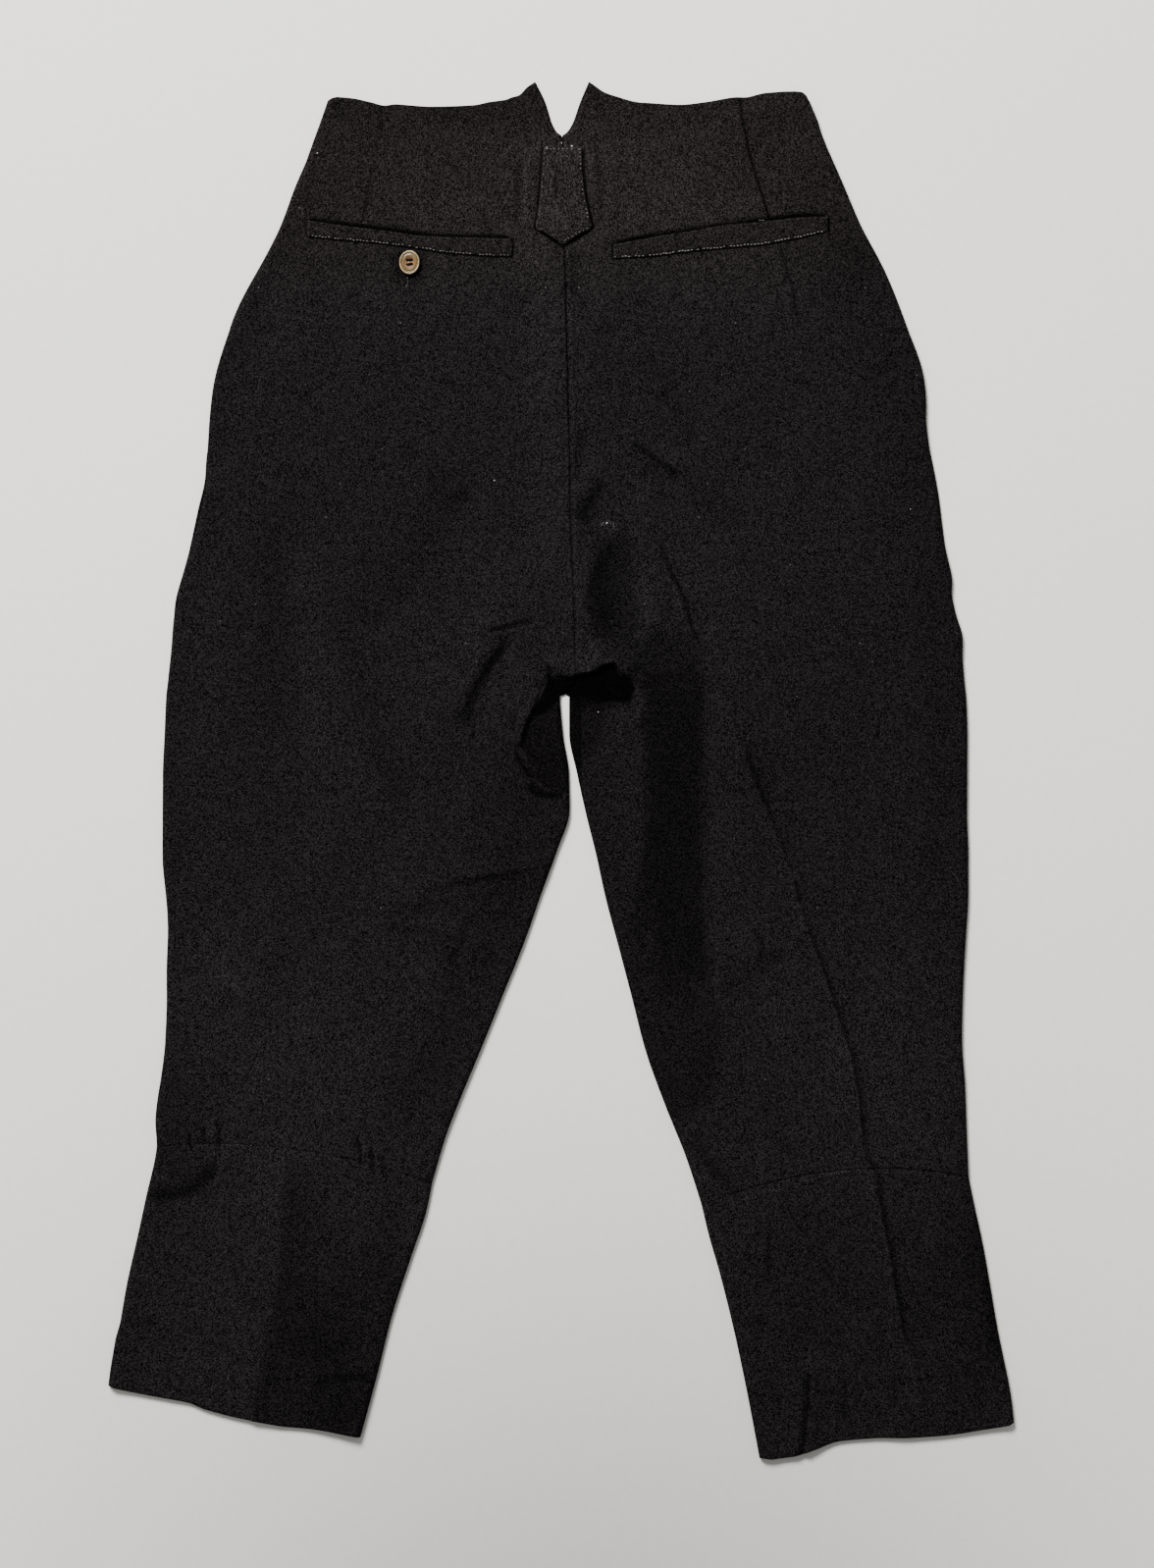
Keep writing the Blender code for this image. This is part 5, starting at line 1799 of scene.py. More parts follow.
    def threads(self, finish: bpy.types.Material) -> bpy.types.Object:
        """Two bars of thread over the face and the wound shank below.

        Args:
            finish: The thread.

        Returns:
            The thread about the origin.
        """
        mesh = bmesh.new()
        face = self.profile[1].height
        for side in (-1, 1):
            for strand in range(self.strands):
                beside = (strand - (self.strands - 1) / 2) * self.strand_pitch
                self.arc(mesh, side * self.hole_y + self.hole_shift + beside, face)
        for turn in range(self.shank_turns):
            height = -self.shank_height * (turn + 0.5) / self.shank_turns
            place = Matrix.Translation((self.shank_radius, 0.0, height))
            made = bmesh.ops.create_circle(
                mesh, cap_ends=False, segments=self.thread_sides, radius=self.shank_thread,
                matrix=place @ Matrix.Rotation(math.pi / 2, 4, "X"),
            )
            ring = [element for vert in made["verts"] for element in (vert, *vert.link_edges)]
            bmesh.ops.spin(
                mesh, geom=list(dict.fromkeys(ring)), axis=(0, 0, 1), cent=(0, 0, height),
                angle=2 * math.pi, steps=self.shank_steps, use_merge=True,
            )
        bmesh.ops.remove_doubles(mesh, verts=mesh.verts, dist=1e-7)
        bmesh.ops.holes_fill(mesh, edges=[edge for edge in mesh.edges if edge.is_boundary])
        bmesh.ops.recalc_face_normals(mesh, faces=mesh.faces)
        tone = np.zeros(len(mesh.verts))
        return ClothObject.make("pocket_button_thread", mesh, finish, tone=tone)

    def build(self, bed: Bed, horn: bpy.types.Material, thread: bpy.types.Material) -> list[bpy.types.Object]:
        """Makes the button and its thread on the cloth.

        Args:
            bed: What it stands on.
            horn: Finish of the button.
            thread: Finish of the thread.

        Returns:
            The button and its thread.
        """
        around = [2 * math.pi * step / self.seat_points for step in range(self.seat_points)]
        rim = self.profile[-3].radius
        seat = max(bed.height(self.x + rim * math.cos(a), self.y + rim * math.sin(a)) for a in around)
        place = Matrix.Translation((self.x, self.y, seat + self.shank_height * self.shank_share))
        place = place @ Matrix.Rotation(-self.lean, 4, "Y") @ Matrix.Diagonal((*self.oval, 1.0))
        made = [self.body(horn), self.threads(thread)]
        for each in made:
            each.data.transform(place)
        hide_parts("pocket_button")
        return made


@dataclass
class Lint:
    """Tufts of pale fluff caught on the cloth."""

    places: tuple[tuple[float, float, float], ...] = (
        (0.0079, 0.4534, 0.0014),
        (0.0002, 0.4555, 0.0008),
        (-0.0488, 0.2099, 0.0008),
        (-0.1772, 0.4475, 0.001),
        (0.033, 0.179, 0.0012),
        (0.0267, 0.0416, 0.0007),
        (0.2535, 0.189, 0.0006),
        (-0.0105, 0.452, 0.0007),
    )
    fibres: int = 7
    fibre_width: float = 0.0002
    fibre_tilt: float = 0.1
    fibre_reach: Point = (0.25, 0.6)
    spread: float = 0.4
    lift: float = 0.6
    tone: float = 1.8
    sides: int = 6
    rings: int = 4
    seed: int = 7

    def build(self, bed: Bed, finish: bpy.types.Material) -> bpy.types.Object:
        """Makes all the tufts as one object.

        Args:
            bed: What they lie on.
            finish: Their fibre.

        Returns:
            Their object.
        """
        chance = random.Random(self.seed)
        mesh = bmesh.new()
        for x, y, size in self.places:
            for _ in range(self.fibres):
                angle = chance.uniform(0, math.pi)
                tilt = chance.uniform(-self.fibre_tilt, self.fibre_tilt)
                half = Vector((math.cos(angle), math.sin(angle), tilt))
                half *= size * chance.uniform(*self.fibre_reach)
                near_x = x + chance.uniform(-self.spread, self.spread) * size
                near_y = y + chance.uniform(-self.spread, self.spread) * size
                height = bed.height(near_x, near_y) + self.fibre_width * self.lift
                middle = Vector((near_x, near_y, height))
                turn = half.to_track_quat("X", "Z").to_matrix().to_4x4()
                scale = Matrix.Diagonal((2 * half.length, self.fibre_width, self.fibre_width, 1.0))
                bmesh.ops.create_uvsphere(
                    mesh, u_segments=self.sides, v_segments=self.rings, radius=0.5,
                    matrix=Matrix.Translation(middle) @ turn @ scale,
                )
        made = ClothObject.make("lint", mesh, finish, tone=np.full(len(mesh.verts), self.tone))
        return made


class Graph:
    """Adds and links the nodes of one tree."""

    MIX_SHARE, MIX_FIRST, MIX_SECOND, MIX_RESULT = 0, 6, 7, 2

    def __init__(self, tree: bpy.types.NodeTree) -> None:
        """Keeps the tree that it adds to."""
        self.tree = tree

    @classmethod
    def of_material(cls, name: str) -> tuple[bpy.types.Material, "Graph", bpy.types.Node]:
        """A new material, its graph and its shader.

        Args:
            name: Name of the material.

        Returns:
            The three of them.
        """
        material = bpy.data.materials.new(name)
        material.use_nodes = True
        return material, cls(material.node_tree), material.node_tree.nodes["Principled BSDF"]

    def add(self, kind: str, **settings: object) -> bpy.types.Node:
        """Adds a node.

        Args:
            kind: Its type in Blender.
            settings: Its properties by name.

        Returns:
            The node.
        """
        node = self.tree.nodes.new(kind)
        for name, value in settings.items():
            setattr(node, name, value)
        return node

    def feed(self, socket: bpy.types.NodeSocket, value: object) -> None:
        """Links an output to a socket, or sets the socket to a plain value."""
        if isinstance(value, bpy.types.NodeSocket):
            self.tree.links.new(value, socket)
        else:
            socket.default_value = value

    def math(self, operation: str, *values: object) -> bpy.types.NodeSocket:
        """The result of one Math node.

        Args:
            operation: Its operation.
            values: Its inputs, as outputs of other nodes or numbers.

        Returns:
            Its output.
        """
        node = self.add("ShaderNodeMath", operation=operation)
        for socket, value in zip(node.inputs, values):
            self.feed(socket, value)
        return node.outputs[0]

    def effect(self, tree: bpy.types.NodeTree, vector: object, **values: object) -> bpy.types.Node:
        """Adds one of the shared effects.

        Args:
            tree: Its node group.
            vector: Where it is read.
            values: Its other inputs by name.

        Returns:
            Its node.
        """
        node = self.add("ShaderNodeGroup", node_tree=tree)
        for name, value in (("Vector", vector), *values.items()):
            self.feed(node.inputs[name], value)
        return node

    def bump(
        self, height: object, strength: float, depth: float, below: object = None,
    ) -> bpy.types.NodeSocket:
        """A relief of the surface.

        Args:
            height: Its heights.
            strength: How strongly it shows.
            depth: How deep it is, in metres.
            below: The relief that it is added to.

        Returns:
            Its normal.
        """
        node = self.add("ShaderNodeBump")
        for name, value in (("Height", height), ("Strength", strength), ("Distance", depth)):
            self.feed(node.inputs[name], value)
        if below is not None:
            self.feed(node.inputs["Normal"], below)
        return node.outputs["Normal"]

    def noise(self, vector: object, scale: object, detail: float, roughness: float) -> bpy.types.NodeSocket:
        """A field of noise.

        Args:
            vector: Where it is read.
            scale: How many features it has in a metre.
            detail: How many finer levels it has.
            roughness: How strong they are.

        Returns:
            Its value, from 0 to 1.
        """
        node = self.add("ShaderNodeTexNoise")
        self.feed(node.inputs["Vector"], vector)
        self.feed(node.inputs["Scale"], scale)
        node.inputs["Detail"].default_value = detail
        node.inputs["Roughness"].default_value = roughness
        return node.outputs["Fac"]

    def stretched(self, vector: object, scale: tuple[float, float, float]) -> bpy.types.NodeSocket:
        """The vector stretched on its three axes."""
        node = self.add("ShaderNodeMapping")
        self.feed(node.inputs["Vector"], vector)
        node.inputs["Scale"].default_value = scale
        return node.outputs["Vector"]

    def ramp(
        self, value: object, low: object, high: object, start: float, end: float,
    ) -> bpy.types.NodeSocket:
        """A value brought smoothly from one range into another.

        Args:
            value: What is brought over.
            low: Its lowest value.
            high: Its highest value.
            start: Result at the lowest value.
            end: Result at the highest value.

        Returns:
            The result.
        """
        node = self.add("ShaderNodeMapRange", interpolation_type="SMOOTHSTEP")
        for name, wanted in (
            ("Value", value), ("From Min", low), ("From Max", high), ("To Min", start), ("To Max", end),
        ):
            self.feed(node.inputs[name], wanted)
        return node.outputs["Result"]

    def blend(self, share: object, first: object, second: object, kind: str = "MIX") -> bpy.types.NodeSocket:
        """Two colours mixed.

        Args:
            share: Share of the second.
            first: First colour.
            second: Second colour.
            kind: Way in which they are mixed.

        Returns:
            The mixed colour.
        """
        node = self.add("ShaderNodeMix", data_type="RGBA", blend_type=kind)
        self.feed(node.inputs[self.MIX_SHARE], share)
        self.feed(node.inputs[self.MIX_FIRST], first)
        self.feed(node.inputs[self.MIX_SECOND], second)
        return node.outputs[self.MIX_RESULT]


class EffectGroups:
    """Node groups of the effects that the finishes are made of."""

    WOBBLE = {"scale": 420.0, "detail": 2.0, "roughness": 0.6}
    CLOUD = {"detail": 2.0, "roughness": 0.7}
    STREAK = {"detail": 2.0, "roughness": 0.6}
    MOTTLE = {"scale": 38.0, "detail": 4.0, "roughness": 0.55}
    CELL_SHARE = 0.45
    STREAK_STRETCH = (1.0, 0.07, 1.0)
    FLUFF_SCALE = 240.0

    def __init__(self) -> None:
        """Builds the groups once."""
        self.weave = self.make_weave()
        self.grain = self.make_grain()
        self.fluff = self.make_fluff()

    @staticmethod
    def start(name: str, inputs: dict[str, str], outputs: dict[str, str]) -> tuple[Graph, object, object]:
        """A new group with its sockets.

        Args:
            name: Name of the group.
            inputs: Socket types by name.
            outputs: Socket types by name.

        Returns:
            Its graph, the node of its inputs and the node of its outputs.
        """
        tree = bpy.data.node_groups.new(name, "ShaderNodeTree")
        for socket, kind in inputs.items():
            tree.interface.new_socket(name=socket, in_out="INPUT", socket_type=kind)
        for socket, kind in outputs.items():
            tree.interface.new_socket(name=socket, in_out="OUTPUT", socket_type=kind)
        graph = Graph(tree)
        return graph, graph.add("NodeGroupInput"), graph.add("NodeGroupOutput")

    def make_weave(self) -> bpy.types.NodeTree:
        """Plain weave: threads over and under each other, a little uneven."""
        graph, given, result = self.start(
            "plain weave",
            {"Vector": "NodeSocketVector", "Threads": "NodeSocketFloat", "Unevenness": "NodeSocketFloat"},
            {"Height": "NodeSocketFloat"},
        )
        wobble = graph.noise(given.outputs["Vector"], **self.WOBBLE)
        split = graph.add("ShaderNodeSeparateXYZ")
        graph.feed(split.inputs[0], given.outputs["Vector"])
        turn = graph.math("MULTIPLY", given.outputs["Threads"], math.pi)
        shift = graph.math("MULTIPLY", wobble, given.outputs["Unevenness"])
        waves = []
        for axis in (0, 1):
            angle = graph.math("MULTIPLY_ADD", split.outputs[axis], turn, shift)
            waves.append(graph.math("SINE", angle))
        crossing = graph.math("MULTIPLY", waves[0], waves[1])
        graph.feed(result.inputs["Height"], graph.math("MULTIPLY_ADD", crossing, 0.5, 0.5))
        return graph.tree

    def make_grain(self) -> bpy.types.NodeTree:
        """Specks, streaks along the warp and broad mottling of worn dye."""
        graph, given, result = self.start(
            "worn grain",
            {"Vector": "NodeSocketVector", "Specks": "NodeSocketFloat", "Streaks": "NodeSocketFloat"},
            {"Speck": "NodeSocketFloat", "Streak": "NodeSocketFloat", "Mottle": "NodeSocketFloat"},
        )
        vector = given.outputs["Vector"]
        cells = graph.add("ShaderNodeTexVoronoi")
        graph.feed(cells.inputs["Vector"], vector)
        graph.feed(cells.inputs["Scale"], given.outputs["Specks"])
        split = graph.add("ShaderNodeSeparateColor")
        graph.feed(split.inputs[0], cells.outputs["Color"])
        cloud = graph.noise(vector, given.outputs["Specks"], **self.CLOUD)
        cloudy = graph.math("MULTIPLY", cloud, 1 - self.CELL_SHARE)
        speck = graph.math("MULTIPLY_ADD", split.outputs[0], self.CELL_SHARE, cloudy)
        graph.feed(result.inputs["Speck"], speck)
        long = graph.stretched(vector, self.STREAK_STRETCH)
        graph.feed(result.inputs["Streak"], graph.noise(long, given.outputs["Streaks"], **self.STREAK))
        graph.feed(result.inputs["Mottle"], graph.noise(vector, **self.MOTTLE))
        return graph.tree

    def make_fluff(self) -> bpy.types.NodeTree:
        """Sparse pale dots of lint and worn knots."""
        graph, given, result = self.start(
            "fluff",
            {"Vector": "NodeSocketVector", "Density": "NodeSocketFloat", "Size": "NodeSocketFloat"},
            {"Mask": "NodeSocketFloat"},
        )
        cells = graph.add("ShaderNodeTexVoronoi")
        graph.feed(cells.inputs["Vector"], given.outputs["Vector"])
        cells.inputs["Scale"].default_value = self.FLUFF_SCALE
        split = graph.add("ShaderNodeSeparateColor")
        graph.feed(split.inputs[0], cells.outputs["Color"])
        size = graph.math("MULTIPLY", given.outputs["Size"], split.outputs[1])
        near = graph.math("LESS_THAN", cells.outputs["Distance"], size)
        kept = graph.math("LESS_THAN", split.outputs[0], given.outputs["Density"])
        graph.feed(result.inputs["Mask"], graph.math("MULTIPLY", near, kept))
        return graph.tree


@dataclass(frozen=True)
class ClothFinish:
    """Black heavy cotton, paler or darker by the tone of each point, which holds wear, painted light and
    painted shade.
    """

    name: str
    colour: tuple[float, float, float] = (0.0061, 0.0054, 0.0057)
    fluff_colour: tuple[float, float, float] = (0.06, 0.056, 0.054)
    threads: float = 1700.0
    unevenness: float = 2.6
    speck_scale: float = 1700.0
    speck_contrast: float = 9.5
    speck_range: Point = (0.2, 0.8)
    speck_relief: float = 0.9
    streak_scale: float = 1500.0
    streak_contrast: float = 4.0
    streaks_from: float = 0.75
    least_shade: float = 0.15
    mottle_contrast: float = 0.35
    warm_tint: tuple[float, float, float] = (1.0, 0.99, 0.9)
    warm_from: float = 0.28
    warm_to: float = 0.42
    fluff_density: float = 0.03
    fluff_size: float = 0.16
    roughness: float = 0.9
    specular: float = 0.015
    bump: float = 0.55
    bump_depth: float = 0.00035
    crumple: float = 0.22
    crumple_depth: float = 0.0016
    crumple_noise: tuple[float, float, float] = (90.0, 3.0, 0.5)

    def build(self, groups: EffectGroups) -> bpy.types.Material:
        """Makes the material.

        Args:
            groups: The shared effects.

        Returns:
            The material.
        """
        material, graph, shader = Graph.of_material(self.name)
        cloth = graph.add("ShaderNodeUVMap", uv_map=ClothObject.UV_NAME).outputs["UV"]
        tone = graph.add("ShaderNodeAttribute", attribute_name=ClothObject.TONE_NAME).outputs["Fac"]
        grain = graph.effect(groups.grain, cloth, Specks=self.speck_scale, Streaks=self.streak_scale)
        weave = graph.effect(groups.weave, cloth, Threads=self.threads, Unevenness=self.unevenness)
        fluff = graph.effect(groups.fluff, cloth, Density=self.fluff_density, Size=self.fluff_size)
        speck = graph.math("SUBTRACT", grain.outputs["Speck"], 0.5)
        streak = graph.math("SUBTRACT", grain.outputs["Streak"], 0.5)
        mottle = graph.math("SUBTRACT", grain.outputs["Mottle"], 0.5)
        # How far the tone, which holds wear and painted shade, lies above where the streaks start
        wear_and_painted_shade = graph.math("MAXIMUM", graph.math("SUBTRACT", tone, self.streaks_from), 0.0)
        factor = graph.math("MULTIPLY_ADD", speck, self.speck_contrast, 1.0)
        streaked = graph.math("MULTIPLY", streak, self.streak_contrast)
        streaked = graph.math("MULTIPLY", streaked, wear_and_painted_shade)
        factor = graph.math("ADD", factor, streaked)
        factor = graph.math("MULTIPLY_ADD", mottle, self.mottle_contrast, factor)
        factor = graph.math("MULTIPLY", graph.math("MAXIMUM", factor, self.least_shade), tone)
        base = graph.add("ShaderNodeVectorMath", operation="SCALE")
        base.inputs[0].default_value = self.colour
        graph.feed(base.inputs["Scale"], factor)
        split = graph.add("ShaderNodeSeparateXYZ")
        graph.feed(split.inputs[0], cloth)
        warm = graph.ramp(split.outputs[1], self.warm_from, self.warm_to, 0.0, 1.0)
        colour = graph.blend(warm, base.outputs[0], (*self.warm_tint, 1.0), "MULTIPLY")
        pale = graph.math("MULTIPLY", fluff.outputs["Mask"], graph.math("MINIMUM", tone, 1.0))
        colour = graph.blend(pale, colour, (*self.fluff_colour, 1.0))
        graph.feed(shader.inputs["Base Color"], colour)
        worn = graph.ramp(grain.outputs["Speck"], *self.speck_range, self.roughness, 1.0)
        graph.feed(shader.inputs["Roughness"], worn)
        shader.inputs["Specular IOR Level"].default_value = self.specular
        woven = weave.outputs["Height"]
        relief = graph.math("MULTIPLY_ADD", grain.outputs["Speck"], self.speck_relief, woven)
        fine = graph.bump(relief, self.bump, self.bump_depth)
        crumpled = graph.noise(cloth, *self.crumple_noise)
        broad = graph.bump(crumpled, self.crumple, self.crumple_depth, fine)
        graph.feed(shader.inputs["Normal"], broad)
        return material


@dataclass(frozen=True)
class ThreadFinish:
    """Cotton thread, from black to worn pale grey."""

    name: str = "sewing_thread"
    colour: tuple[float, float, float] = (0.165, 0.152, 0.145)
    dark: tuple[float, float, float] = (0.005, 0.004, 0.004)
    specular: float = 0.06
    ply_scale: float = 2600.0
    speck_contrast: float = 1.2
    speck_range: Point = (0.2, 0.8)
    least_shade: float = 0.4
    roughness: float = 0.8
    bump: float = 0.5
    bump_depth: float = 0.0001

    def build(self, groups: EffectGroups) -> bpy.types.Material:
        """Makes the material.

        Args:
            groups: The shared effects.

        Returns:
            The material.
        """
        material, graph, shader = Graph.of_material(self.name)
        place = graph.add("ShaderNodeTexCoord").outputs["Object"]
        tone = graph.add("ShaderNodeAttribute", attribute_name=ClothObject.TONE_NAME).outputs["Fac"]
        grain = graph.effect(groups.grain, place, Specks=self.ply_scale, Streaks=self.ply_scale)
        speck = graph.math("MULTIPLY_ADD", grain.outputs["Speck"], self.speck_contrast, self.least_shade)
        shade = graph.math("MULTIPLY", tone, speck)
        colour = graph.blend(shade, (*self.dark, 1.0), (*self.colour, 1.0))
        graph.feed(shader.inputs["Base Color"], colour)
        worn = graph.ramp(grain.outputs["Speck"], *self.speck_range, self.roughness, 1.0)
        graph.feed(shader.inputs["Roughness"], worn)
        shader.inputs["Specular IOR Level"].default_value = self.specular
        relief = graph.bump(grain.outputs["Speck"], self.bump, self.bump_depth)
        graph.feed(shader.inputs["Normal"], relief)
        return material


@dataclass(frozen=True)
class HornFinish:
    """Tan horn with a paler rim and an olive groove, streaked and polished by wear."""

    name: str = "tan_horn"
    well: tuple[float, float, float] = (0.23, 0.12, 0.06)
    groove: tuple[float, float, float] = (0.105, 0.07, 0.026)
    rim: tuple[float, float, float] = (0.53, 0.395, 0.225)
    under: tuple[float, float, float] = (0.14, 0.09, 0.05)
    groove_start: float = 0.0039
    groove_end: float = 0.0077
    rim_end: float = 0.0082
    groove_ease: float = 0.0006
    rim_ease: Point = (0.0004, 0.0003)
    edge_wander: float = 0.0012
    grain_stretch: tuple[float, float, float] = (1.0, 2.6, 1.0)
    speck_scale: float = 420.0
    streak_scale: float = 900.0
    grain_range: Point = (0.3, 0.7)
    streak_shades: Point = (0.72, 1.25)
    roughness: Point = (0.2, 0.4)
    specular: float = 0.28
    bump: float = 0.25
    bump_depth: float = 0.0002

    def build(self, groups: EffectGroups) -> bpy.types.Material:
        """Makes the material.

        Args:
            groups: The shared effects.

        Returns:
            The material.
        """
        material, graph, shader = Graph.of_material(self.name)
        place = graph.add("ShaderNodeTexCoord").outputs["Object"]
        radius = graph.add("ShaderNodeAttribute", attribute_name=HornButton.edge_name).outputs["Fac"]
        long = graph.stretched(place, self.grain_stretch)
        grain = graph.effect(groups.grain, long, Specks=self.speck_scale, Streaks=self.streak_scale)
        speck = graph.math("SUBTRACT", grain.outputs["Speck"], 0.5)
        reach = graph.math("ADD", radius, graph.math("MULTIPLY", speck, self.edge_wander))
        before, after = self.rim_ease
        inner = graph.ramp(reach, self.groove_start, self.groove_start + self.groove_ease, 0.0, 1.0)
        outer = graph.ramp(reach, self.groove_end - self.groove_ease, self.groove_end, 0.0, 1.0)
        edge = graph.ramp(reach, self.rim_end - before, self.rim_end + after, 0.0, 1.0)
        colour = graph.blend(inner, (*self.well, 1.0), (*self.groove, 1.0))
        colour = graph.blend(outer, colour, (*self.rim, 1.0))
        colour = graph.blend(edge, colour, (*self.under, 1.0))
        streaks = graph.ramp(grain.outputs["Streak"], *self.grain_range, *self.streak_shades)
        tinted = graph.add("ShaderNodeVectorMath", operation="SCALE")
        graph.feed(tinted.inputs[0], colour)
        graph.feed(tinted.inputs["Scale"], streaks)
        graph.feed(shader.inputs["Base Color"], tinted.outputs[0])
        shader.inputs["Specular IOR Level"].default_value = self.specular
        polish = graph.ramp(grain.outputs["Speck"], *self.grain_range, *self.roughness)
        graph.feed(shader.inputs["Roughness"], polish)
        relief = graph.bump(grain.outputs["Speck"], self.bump, self.bump_depth)
        graph.feed(shader.inputs["Normal"], relief)
        return material


@dataclass(frozen=True)
class FloorFinish:
    """Pale grey smooth floor with a faint mottling and a painted shadow beyond the hems."""

    name: str = "pale_floor"
    colour: tuple[float, float, float] = (0.88, 0.862, 0.815)
    roughness: float = 0.55
    specular: float = 0.3
    mottle_noise: tuple[float, float, float] = (160.0, 4.0, 0.7)
    mottle_range: Point = (0.3, 0.7)
    mottle_shades: Point = (0.975, 1.015)
    # Painted shadow beyond the hems: its middle, its reach and how much it darkens the floor
    shadow_middle: Point = (0.02, -0.74)
    shadow_reach: Point = (0.42, 0.42)
    shadow_depth: float = 0.46

    def build(self) -> bpy.types.Material:
        """Makes the material.

        Returns:
            The material.
        """
        material, graph, shader = Graph.of_material(self.name)
        place = graph.add("ShaderNodeTexCoord").outputs["Object"]
        cloud = graph.noise(place, *self.mottle_noise)
        mottle = graph.ramp(cloud, *self.mottle_range, *self.mottle_shades)
        # A painted shadow beyond the hems darkens the floor's colour, most at its middle
        split = graph.add("ShaderNodeSeparateXYZ")
        graph.feed(split.inputs[0], place)
        squares = []
        for axis in (0, 1):
            apart = graph.math("SUBTRACT", split.outputs[axis], self.shadow_middle[axis])
            share = graph.math("DIVIDE", apart, self.shadow_reach[axis])
            squares.append(graph.math("POWER", graph.math("ABSOLUTE", share), 2.0))
        fading = graph.math("POWER", math.e, graph.math("MULTIPLY", graph.math("ADD", *squares), -1.0))
        mottle = graph.math("MULTIPLY", mottle, graph.math("MULTIPLY_ADD", fading, -self.shadow_depth, 1.0))
        tinted = graph.add("ShaderNodeVectorMath", operation="SCALE")
        tinted.inputs[0].default_value = self.colour
        graph.feed(tinted.inputs["Scale"], mottle)
        graph.feed(shader.inputs["Base Color"], tinted.outputs[0])
        shader.inputs["Roughness"].default_value = self.roughness
        shader.inputs["Specular IOR Level"].default_value = self.specular
        return material


